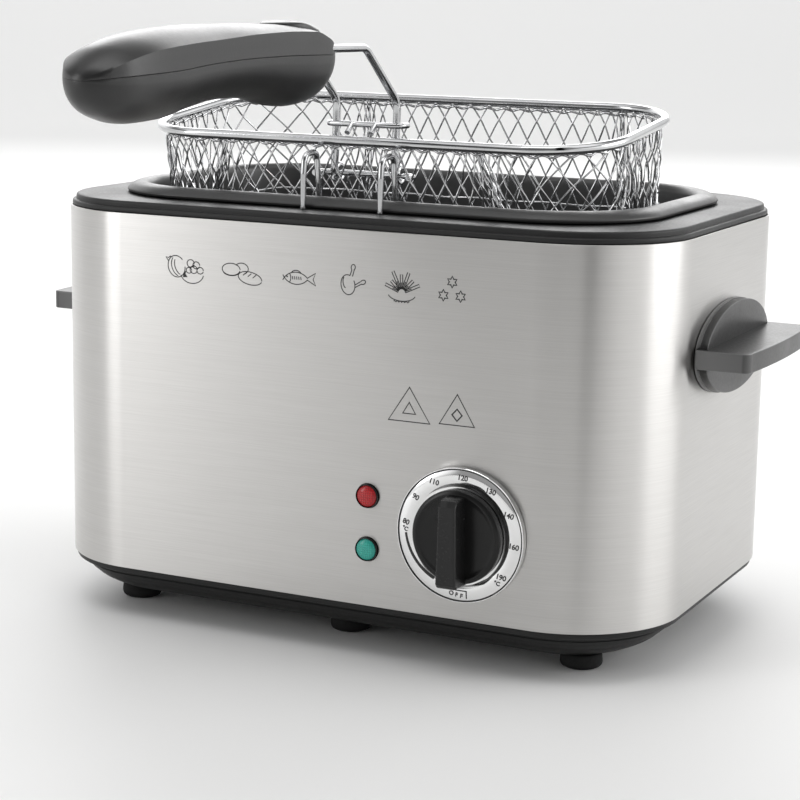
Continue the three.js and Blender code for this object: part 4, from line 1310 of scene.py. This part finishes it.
def bread(x, z):
    yield "line", arcLine((x - 4.6, z + 1.6), (4.1, 2.4), 0, 350, 26)
    yield "line", arcLine((x - 4.6, z + 0.6), (3.6, 1.5), 190, 350, 14)
    yield "line", arcLine((x + 0.2, z + 2.2), (3.0, 2.2), -60, 150, 18)
    loaf = arcLine((x + 4.0, z - 1.4), (5.4, 2.5), 0, 352, 30, -9)
    yield "line", loaf
    for k in (-1, 0, 1):
        yield "line", [(x + 3.0 + 2.2 * k, z - 0.8 - 0.4 * k), (x + 4.6 + 2.2 * k, z + 0.5 - 0.4 * k)]


def fish(x, z):
    yield "line", arcLine((x - 1.6, z - 3.4), (7.0, 6.0), 38, 158, 20)
    yield "line", arcLine((x - 1.6, z + 3.4), (7.0, 6.0), 202, 322, 20)
    tail = [(3.8, 0.4), (7.8, 2.8), (6.6, 0), (7.9, -2.6), (3.8, -0.4)]
    yield "line", [(x + dx, z + dz) for dx, dz in tail]
    yield "line", arcLine((x - 1.6, z + 1.4), (2.6, 2.0), 25, 160, 10)
    yield "line", arcLine((x - 6.0, z), (1.8, 2.4), -55, 55, 8)
    yield "fill", arcLine((x - 6.0, z + 0.5), (0.4, 0.4), 0, 330, 10)
    for k in range(5):
        yield "line", [(x - 3.4 + k, z + 0.8), (x - 3.2 + k, z - 0.6)]


def drumsticks(x, z):
    yield "line", arcLine((x - 1.4, z - 1.6), (3.4, 4.4), 60, 380, 26, 10)
    yield "line", [(x - 0.4, z + 2.6), (x + 0.5, z + 5.2)]
    yield "line", [(x + 0.8, z + 2.2), (x + 1.6, z + 5.0)]
    yield "line", arcLine((x + 1.1, z + 6.2), (1.0, 1.3), -60, 240, 12, -14)
    yield "line", [(x + 2.2, z - 1.4), (x + 4.8, z + 0.2)]
    yield "line", [(x + 2.0, z - 2.6), (x + 5.2, z - 0.9)]
    yield "line", arcLine((x + 6.0, z + 0.0), (1.3, 0.9), -150, 130, 12, 24)
    yield "line", arcLine((x - 2.2, z - 0.6), (1.6, 2.8), 120, 240, 10, 10)


def chips(x, z):
    sticks = ((158, 8.0), (136, 6.6), (116, 9.4), (92, 7.4), (70, 8.8), (46, 7.2), (24, 8.6))
    for angle, length in sticks:
        turn = math.radians(angle)
        across = np.array((-math.sin(turn), math.cos(turn))) * 0.55
        start = np.array((x, z - 1.6)) + np.array((math.cos(turn), math.sin(turn))) * 1.6
        end = start + np.array((math.cos(turn), math.sin(turn))) * (length - 1.6)
        yield "line", [start - across, end - across, end + across, start + across, start - across]
        yield "line", [start, start + (end - start) * 0.45]
    yield "line", arcLine((x, z - 2.0), (6.2, 3.0), 195, 345, 16)
    wave = [(x - 3.6 + 0.4 * k, z - 5.2 + 0.35 * math.sin(1.9 * k)) for k in range(19)]
    yield "line", wave


def stars(x, z):
    for dx, dz in ((0, 2.6), (-3.4, -2.4), (3.4, -2.4)):
        star = []
        for k in range(12):
            radius = 2.1 if k % 2 == 0 else 1.15
            angle = math.pi / 2 + k * math.pi / 6
            star.append((x + dx + radius * math.cos(angle), z + dz + radius * math.sin(angle)))
        yield "loop", star


def plainMarks(x, z):
    # two plain shapes with no meaning
    yield "loop", [(x - 16.6, z - 6.2), (x + 0.2, z - 6.2), (x - 8.2, z + 6.6)]
    yield "loop", [(x - 10.8, z - 3.2), (x - 5.6, z - 3.2), (x - 8.2, z + 1.0)]
    yield "loop", [(x + 4.0, z - 5.6), (x + 18.0, z - 5.6), (x + 11.0, z + 5.8)]
    yield "loop", [(x + 11, z - 4.0), (x + 13, z - 1.8), (x + 11, z + 0.4), (x + 9, z - 1.8)]


def makePictures():
    z = printShape["rowHeight"]
    thin, thick = printShape["stroke"], printShape["markStroke"]
    pictures = [
        (onion, -57.5, 0, 0.95, thin), (bread, -32.5, 0.6, 0.95, thin), (fish, -7.6, 0.8, 0.87, thin),
        (drumsticks, 13.8, 1.4, 0.84, thin), (chips, 34.6, 0.2, 0.9, thin), (stars, 54.6, 1.6, 1, 0.55),
        (plainMarks, 46.6, printShape["marksHeight"] - z, 1, thick),
    ]
    parts = []
    for picture, x, rise, scale, stroke in pictures:
        centre = np.array((middle[0] + x, z + rise))
        for kind, line in picture(*centre):
            line = centre + (np.asarray(line, float) - centre) * scale
            if kind == "fill":
                parts.append(inkFill(line, frontY))
            else:
                parts.append(inkStroke(line, stroke, frontY, kind == "loop"))
    finishPiece(joinMeshes("front_print", parts), "root", [], looks["ink"])


makePictures()
print("printing made")


# basket

rimLow, rimHigh = nodeBox("basket_rim")
basket = dict(
    width=196.0, depth=96.0, corner=30.0, wire=1.9, tilt=6.56, height=75.0, taper=3.0, bend=7.0,
    strands=82, slope=0.46, netWire=0.36, crimp=0.4, wobble=0.5, floorPitch=7.6,
    pleat=2.6, pleatRate=1.15,
    # depth, inset, weave up and down, number of waves, wire
    hems=((2.4, 1.4, 0.5, 72, 0.55), (40, 2.7, 0.3, 17, 0.4), (75, 10.6, 0.0, 1, 1.1)),
)
rimMiddle = (rimLow + rimHigh) / 2


def tilted(points):
    # from the basket's own level frame to where it hangs
    points = np.asarray(points, float)
    turn = math.radians(basket["tilt"])
    y, z = points[:, 1], points[:, 2]
    return np.stack(
        [
            points[:, 0] + rimMiddle[0],
            rimMiddle[1] + y * math.cos(turn) - z * math.sin(turn),
            rimMiddle[2] + y * math.sin(turn) + z * math.cos(turn),
        ],
        1,
    )


straightX = basket["width"] - 2 * basket["corner"]
straightY = basket["depth"] - 2 * basket["corner"]
quarterArc = math.pi * basket["corner"] / 2
rimLength = 2 * (straightX + straightY) + 4 * quarterArc


def roundRim(along):
    # the point of the rim and the way out from it, this far round from the front's middle
    along = along % rimLength
    corner = basket["corner"]
    halfX, halfY = straightX / 2, straightY / 2
    stretches = [
        (halfX, (0, -halfY - corner), (1, 0)), (quarterArc, (halfX, -halfY), -90),
        (straightY, (halfX + corner, -halfY), (0, 1)), (quarterArc, (halfX, halfY), 0),
        (straightX, (halfX, halfY + corner), (-1, 0)), (quarterArc, (-halfX, halfY), 90),
        (straightY, (-halfX - corner, halfY), (0, -1)), (quarterArc, (-halfX, -halfY), 180),
        (halfX, (-halfX, -halfY - corner), (1, 0)),
    ]
    for length, start, way in stretches:
        if along <= length + 1e-9:
            break
        along -= length
    if isinstance(way, tuple):
        spot = np.array(start, float) + np.array(way, float) * along
        return spot, np.array((way[1], -way[0]), float)
    angle = math.radians(way) + along / corner
    out = np.array((math.cos(angle), math.sin(angle)))
    return np.array(start, float) + corner * out, out


# where the net is bunched up (below 1) or pulled wide (above 1), as shares of the way round:
# place at the rim, place at the floor, half-width, spacing
bunches = (
    (0.112, 0.162, 0.05, 0.1), (0.195, 0.215, 0.022, 2.2), (0.224, 0.244, 0.014, 0.35),
    (0.255, 0.255, 0.012, 0.5), (0.31, 0.31, 0.03, 1.2), (0.378, 0.378, 0.032, 0.16),
    (0.48, 0.48, 0.05, 1.15), (0.594, 0.594, 0.032, 0.16), (0.66, 0.66, 0.032, 2.0),
    (0.735, 0.73, 0.018, 0.5), (0.79, 0.78, 0.02, 0.8), (0.845, 0.825, 0.02, 1.4),
    (0.885, 0.852, 0.05, 0.1), (0.95, 0.945, 0.03, 1.25),
)
warpLevels = 9


def spacingAt(share, depth):
    spacing = 1.0
    for atRim, atFloor, half, factor in bunches:
        place = atRim + (atFloor - atRim) * depth
        apart = abs((share - place + 0.5) % 1.0 - 0.5) / half
        if apart < 1.6:
            spacing += (factor - 1) * math.exp(-(apart**2) * 1.6)
    return spacing


def makeWarps():
    shares = np.linspace(0, 1, 481)
    rows = []
    for level in range(warpLevels):
        depth = level / (warpLevels - 1)
        spacing = [spacingAt(share, depth) for share in shares[:-1]]
        totals = np.concatenate([[0], np.cumsum(spacing)])
        rows.append(totals / totals[-1])
    return shares, rows


warpShares, warpRows = makeWarps()


def warp(along, down):
    # where a point evenly spaced round the rim comes to lie at this depth
    turns, share = divmod(along / rimLength, 1.0)
    level = min(max(down / basket["height"], 0.0), 1.0) * (warpLevels - 1)
    row = min(int(level), warpLevels - 2)
    near, far = (np.interp(share, warpShares, warpRows[k]) for k in (row, row + 1))
    return (turns + near + (far - near) * (level - row)) * rimLength


def foldAt(along, down):
    # bunched wire stands in pleats; it is loosest half-way down
    share = (along / rimLength) % 1.0
    tightness = max(0.0, 0.9 - spacingAt(share, min(1.0, down / basket["height"])))
    swell = math.sin(math.pi * min(1.0, down / 60 + 0.12))
    return basket["pleat"] * tightness * math.cos(along * basket["pleatRate"]) * swell


def netPoint(along, down, push):
    # a point of the net, down the wall and round the bend into the floor
    spot, out = roundRim(warp(along, down))
    bend = basket["bend"]
    wallEnd = basket["height"] - bend
    if down <= wallEnd:
        inset = basket["taper"] * down / basket["height"] + 0.8 + foldAt(along, down) * 0.5 + 0.6
        height = -down
    else:
        angle = min((down - wallEnd) / bend, math.pi / 2)
        inset = basket["taper"] + 1.4 + bend * (1 - math.cos(angle))
        height = -wallEnd - bend * math.sin(angle)
        inset += max(0.0, down - wallEnd - bend * math.pi / 2)
    flat = spot - out * (inset - push)
    return (flat[0], flat[1], height)


def netStrands():
    pitch = rimLength / basket["strands"]
    cell = pitch / (2 * basket["slope"])  # height of half a diamond
    reach = basket["height"] + basket["bend"] * 0.55 + 2
    crimp = basket["crimp"]
    lines = []
    for lean in (-1, 1):
        for strand in range(basket["strands"]):
            line = []
            count = int(reach / (2 * cell) * 2) + 1
            for crossing in range(count + 1):
                down = crossing * cell
                if down > reach:
                    break
                along = strand * pitch + lean * basket["slope"] * down
                over = crimp if (crossing + (lean > 0)) % 2 else -crimp
                for step in (-0.11, 0.11):
                    depth = max(1.2, down + step * cell)
                    slip = lean * 0.35 * (1 if step > 0 else -1)
                    line.append(netPoint(along + slip, depth, over))
                line.append(netPoint(along + lean * basket["slope"] * cell / 2, down + cell / 2, 0))
            lines.append(tilted(line))
    return lines


def floorStrands():
    half = np.array((basket["width"], basket["depth"])) / 2 - basket["taper"] - basket["bend"] - 1.2
    corner = basket["corner"] - basket["taper"] - basket["bend"]
    height = -basket["height"]

    def inside(x, y):
        dx, dy = abs(x) - (half[0] - corner), abs(y) - (half[1] - corner)
        if dx > 0 and dy > 0:
            return math.hypot(dx, dy) <= corner
        return max(dx, dy) <= corner

    lines = []
    pitch = basket["floorPitch"]
    for lean in (-1, 1):
        way = np.array((1.0, lean * 0.5))
        step = pitch / 2
        for k in range(-40, 41):
            line = []
            for j in range(-80, 81):
                spot = np.array((k * pitch, 0.0)) + way * j * step
                if inside(*spot):
                    over = basket["crimp"] if (j + (lean > 0)) % 2 else -basket["crimp"]
                    line.append((spot[0], spot[1], height + over))
            if len(line) > 2:
                lines.append(tilted(line))
    return lines


def hemLine(down, inset, lift, waves):
    # a wire that runs right round the basket, weaving a little
    line = []
    steps = 360
    for k in range(steps):
        along = rimLength * k / steps
        spot, out = roundRim(along)
        sway = math.sin(2 * math.pi * waves * k / steps)
        flat = spot - out * (inset + 0.35 * sway)
        line.append((flat[0], flat[1], -down + lift * sway))
    return tilted(line)


def makeBasket():
    chrome = looks["chrome"]
    rimLine = tilted([(*roundRim(rimLength * k / 240)[0], 0) for k in range(240)])
    rim = wirePiece("basket_rim_wire", [rimLine], basket["wire"], chrome, sides=20, closed=True)
    finishPiece(rim, "basket", ["basket_rim"], chrome)
    thin, wobble = basket["netWire"], basket["wobble"]
    net = wirePiece("net", netStrands(), thin, chrome, sides=6, wobble=wobble)
    floor = wirePiece("netFloor", floorStrands(), thin, chrome, sides=6)
    hems = []
    for *shape, wire in basket["hems"]:
        sides = 10 if wire > 1 else 8
        hems.append(wirePiece("hem", [hemLine(*shape)], wire, chrome, sides=sides, closed=True))
    whole = joinMeshes("basket_net", [net, floor, *hems])
    finishPiece(rounded(whole, 60), "basket", ["basket_mesh"], chrome)


hookShape = dict(wire=1.15, bend=3.4, drop=6.0, across=11.1, tip=165.9)


def makeHooks():
    for side in ("left", "right"):
        node = f"basket_hook_{side}"
        low, high = nodeBox(node)
        x = (low[0] + high[0]) / 2
        wire, bend, drop, across, tip = hookShape.values()
        front, top = low[1] + wire, high[2] - wire
        back = front + across
        line = [
            (x, high[1] - wire, low[2]), (x, back, top - drop), (x, back - 0.4, top),
            (x, front + 0.9, top - 0.8), (x, front + 0.2, top - 8), (x, front, tip),
        ]
        hook = wirePiece(node + "_wire", [line], wire, looks["chrome"], bend=bend, sides=16)
        finishPiece(rounded(hook, 50), "basket", [node], looks["chrome"])


pinShape = dict(wire=1.2, bend=2.4)
stopShape = dict(wire=1.1, bend=2.2, setBack=5.5, spurs=(-5, 5), spurDrop=3.1)


def makePinAndStop():
    low, high = nodeBox("handle_pin_wire")
    wire = pinShape["wire"]
    z = (low[2] + high[2]) / 2
    line = [
        (low[0] + wire, low[1], z), (low[0] + wire, high[1] - wire, z),
        (high[0] - wire, high[1] - wire, z), (high[0] - wire, low[1], z),
    ]
    pin = wirePiece("hinge_wire", [line], wire, looks["chrome"], bend=pinShape["bend"])
    finishPiece(rounded(pin, 50), "basket", ["handle_pin_wire"], looks["chrome"])
    low, high = nodeBox("handle_stop_wire")
    wire = stopShape["wire"]
    z, y = high[2] - wire, high[1] - stopShape["setBack"]
    cross = [
        (low[0] + wire, high[1], z), (low[0] + wire, y, z), (high[0] - wire, y, z),
        (high[0] - wire, high[1], z),
    ]
    centre = (low[0] + high[0]) / 2
    spurEnd, drop = low[1] + 0.6, stopShape["spurDrop"]
    spurs = [[(centre + x, y, z), (centre + x, spurEnd, z - drop)] for x in stopShape["spurs"]]
    parts = [wirePiece("cross", [cross], wire, looks["chrome"], bend=stopShape["bend"])]
    parts += [wirePiece("spur", [spur], wire, looks["chrome"]) for spur in spurs]
    stop = combine(parts[0], parts[1:], "UNION")
    stop.name = "stop_wire"
    finishPiece(rounded(stop, 50), "basket", ["handle_stop_wire"], looks["chrome"])


makeBasket()
makeHooks()
makePinAndStop()
print("basket made")


# folding handle

foldJoint = next(j for j in frame["joints"] if j["name"] == "handle_fold")
pinPlace = np.array(foldJoint["pos_m"], float) / mm
handleShape = dict(
    leg=12.7, wire=1.5, bend=8.0, curl=2.95,
    # distance behind and above the hinge
    rise=(-2.9, 9), knee=(-1.6, 27.5), shoulder=(-26.0, 48.4), entry=(-58.0, 48.6),
    # the same inside the grip, after the distance from the middle
    inner=(8.5, -100.0, 44.5), end=(8.5, -146.0, 38.0),
)


def makeHandleWire():
    y, z = pinPlace[1], pinPlace[2]
    lines = []
    for sign in (-1, 1):
        x = sign * handleShape["leg"]
        foot = nodeMiddle("handle_pin_wire")[0] + x
        curl = []
        for k in range(15):
            angle = math.radians(-150 + 330 * (1 - k / 14))
            spot = handleShape["curl"] * np.array((math.cos(angle), math.sin(angle)))
            curl.append((foot + sign * 0.5 * (1 - k / 14), y + spot[0], z + spot[1]))
        line = curl[::-1]
        for key, across in (("rise", foot), ("knee", foot), ("shoulder", x), ("entry", x)):
            dy, dz = handleShape[key]
            line.append((across, y + dy, z + dz))
        for key in ("inner", "end"):
            dx, dy, dz = handleShape[key]
            line.append((sign * dx, y + dy, z + dz))
        lines.append(line)
    wires = wirePiece(
        "handle_legs", lines, handleShape["wire"], looks["chrome"], bend=handleShape["bend"], sides=18
    )
    finishPiece(rounded(wires, 60), "basket_handle", ["handle_wire"], looks["chrome"])


# the grip seen from the side: how far along from the wire's end, and height over the hinge
gripShape = dict(
    length=147.6,
    crown=((0, 46.0), (3.4, 49.5), (8, 52.0), (14, 54.2), (24, 56.6), (37, 57.2), (58, 57.6),
           (82, 57.6), (104, 56.8), (122, 55.0), (135, 51.9), (143.5, 47.4), (147.6, 41.4)),
    belly=((0, 45.2), (2, 41.0), (7, 34), (16, 29.4), (26, 28.6), (38, 29.8), (49, 32), (62, 33),
           (77, 32.7), (93, 30.8), (110, 28.1), (125, 27.6), (138, 30), (145.2, 34.6), (147.6, 41.2)),
    parting=((0, 45.5), (12, 46.5), (38, 46.8), (62, 46.5), (88, 45.5), (111, 44.0), (135, 43.0),
             (147.6, 41.3)),
    ridge=((0, 45.8), (4, 48.2), (14, 52.4), (24, 54.7), (38, 54.9), (58, 54.4), (82, 53.1),
           (104, 52.0), (122, 50.6), (135, 48.2), (143.5, 44.8), (147.6, 41.35)),
    half=((0, 0), (1.4, 6.4), (5, 11.4), (12, 14.4), (24, 14.8), (45, 13.4), (70, 12.7), (95, 13.2),
          (118, 14.2), (134, 13.0), (143, 9.0), (146.6, 4.2), (147.6, 0)),
    seam=0.05, seamEdge=0.12, sections=72, screwWell=(3.3, 2.6),
)


def bendLine(key):
    # interpolated against the angle along the grip, so that both ends come out round
    length = gripShape["length"]
    angles = [math.acos(1 - 2 * a / length) for a, _ in gripShape[key]]
    return throughPoints(angles, [h for _, h in gripShape[key]])


def gripSection(angle, lines, half):
    # the upper and the lower half of one slice, each from its left end to its right end
    crown, belly, parting, ridge = (lines[k](angle) for k in ("crown", "belly", "parting", "ridge"))
    wide = max(half, 0.02)
    ridge = min(ridge, crown - 0.04)
    parting = min(max(parting, belly + 0.05), ridge - 0.04)
    seam, edge = gripShape["seam"], gripShape["seamEdge"]
    top = []
    for k in range(-12, 13):
        across = k / 12
        top.append((across * wide * 0.965, ridge + (crown - ridge) * (1 - across**2)))
    half = parting + (ridge - parting) * 0.5
    upper = [(edge - wide, parting + seam), (-wide, parting + seam + edge), (-wide * 0.985, half)]
    upper += top
    upper += [(wide * 0.985, half), (wide, parting + seam + edge), (wide - edge, parting + seam)]
    lower = [(edge - wide, parting - seam)]
    start = parting - seam - edge
    for k in range(0, 37):
        turn = math.pi * k / 36
        across = -math.copysign(abs(math.cos(turn)) ** 0.86, math.cos(turn))
        down = abs(math.sin(turn)) ** 0.92
        lower.append((across * wide, start - (start - belly) * down))
    lower.append((wide - edge, parting - seam))
    return upper, lower


def makeGrip():
    lines = {key: bendLine(key) for key in ("crown", "belly", "parting", "ridge", "half")}
    upperRings, lowerRings = [], []
    gripEnd = nodeBox("grip_upper")[1][1]
    for k in range(1, gripShape["sections"]):
        angle = math.pi * k / gripShape["sections"]
        along = (1 - math.cos(angle)) / 2 * gripShape["length"]
        upper, lower = gripSection(angle, lines, lines["half"](angle))
        y = gripEnd - along
        upperRings.append([(x, y, pinPlace[2] + z) for x, z in upper])
        lowerRings.append([(x, y, pinPlace[2] + z) for x, z in lower])
    upper = loft("grip_top_shell", upperRings)
    pad = makeThumbPad(gripEnd, lines)
    combine(upper, [pad], "UNION")
    finishPiece(rounded(upper, 40), "basket_handle", ["grip_upper"], looks["grip"])
    lower = loft("grip_bottom_shell", lowerRings)
    wells = []
    radius, deep = gripShape["screwWell"]
    for node in ("grip_screw_1", "grip_screw_2"):
        x, y, _ = nodeMiddle(node)
        bottom = nodeBox(node)[0][2]
        low, high = bottom - 12, bottom + deep
        wells.append(
            turned("well", [(0, low), (radius, low), (radius, high), (0, high)], (x, y, 0), "z", 32)
        )
    combine(lower, wells, "DIFFERENCE")
    finishPiece(rounded(lower, 40), "basket_handle", ["grip_lower"], looks["grip"])


thumbPad = dict(
    along=17.0, halfLong=14.2, halfWide=9.5, rise=2.1, lead=0.7, trail=0.75, highest=58.55,
    # how far in from the oval's edge, as a share, and how much of the rise it has there
    profile=((0.0, -0.8), (0.0, 0.55), (0.02, 0.75), (0.07, 0.9), (0.3, 1.0), (0.6, 1.0), (0.9, 1.0)),
)


def makeThumbPad(gripEnd, lines):
    # an oval rest that follows the crown and stands highest towards the wires
    rings = []
    long, wide = thumbPad["halfLong"], thumbPad["halfWide"]
    for shrink, rise in thumbPad["profile"]:
        ring = []
        for k in range(56):
            turn = 2 * math.pi * k / 56
            a, b = (1 - shrink) * wide * math.cos(turn), (1 - shrink) * long * math.sin(turn)
            along = thumbPad["along"] + b
            angle = math.acos(1 - 2 * along / gripShape["length"])
            crown, ridge, half = (lines[key](angle) for key in ("crown", "ridge", "half"))
            surface = ridge + (crown - ridge) * (1 - (a / half) ** 2)
            lead, trail = thumbPad["lead"], thumbPad["trail"]
            slant = lead * b / long if b < 0 else trail * (b / long) ** 2
            lift = thumbPad["rise"] * (1 - slant)
            top = min(surface + rise * lift, thumbPad["highest"])
            ring.append((a, gripEnd - along, pinPlace[2] + top))
        rings.append(ring)
    return loft("thumb_pad", rings)


makeHandleWire()
makeGrip()
print("handle made")


# gland and the pieces inside

glandShape = dict(bore=3.6, ribs=3, ribPitch=1.1, flange=9, neck=6.7, inner=8.6)


def makeGland():
    low, high = nodeBox("cord_gland")
    x, z = (low[0] + high[0]) / 2, (low[2] + high[2]) / 2
    bore, ribs, pitch, flange, neck, inner = glandShape.values()
    end, start = high[1], low[1]
    outside = [(bore, end), (4.8, end)]
    for k in range(ribs):
        y = end - 1.2 - pitch * k
        outside += [(5.0 + 0.3 * k, y), (5.6 + 0.3 * k, y - 0.35)]
    outside += [
        (6.2, backY + 2.7), (flange, backY + 2.4), (flange, backY + 0.3), (neck, backY + 0.3),
        (neck, backY - 1.1), (inner, backY - 1.1), (inner, backY - 3.4), (6, start), (bore, start),
    ]
    gland = rounded(turned("cord_gland_moulding", outside, (x, 0, z), "y", 48))
    finishPiece(gland, "root", ["cord_gland"], looks["rubber"])


innerLooks = {
    "innerSteel": (
        "base_bracket_left", "base_bracket_right", "base_screw_left_front", "base_screw_left_rear",
        "base_screw_right_front", "base_screw_right_rear", "side_screw_left_front",
        "side_screw_left_rear", "side_screw_right_front", "side_screw_right_rear", "heating_element",
        "element_clamp_bar", "heat_shield", "clamp_screw", "thermostat_bracket",
        "thermostat_screw_left", "thermostat_screw_right", "sensor_clip", "grip_screw_1",
        "grip_screw_2",
    ),
    "copper": ("sensor_bulb", "capillary_tube"),
    "brass": ("thermostat_spindle",),
    "white": ("thermal_cutout", "thermostat_body", "terminal_block"),
    "brown": ("live_lead", "element_lead_live", "thermostat_lead"),
    "blue": ("neutral_lead", "element_lead_neutral"),
    "earth": ("earth_lead",),
}


def dressInnerNodes():
    for look, nodes in innerLooks.items():
        for node in nodes:
            mesh = frame["nodes"][node].data
            mesh.materials.clear()
            mesh.materials.append(looks[look])


makeGland()
dressInnerNodes()
print("inner pieces dressed")

import json
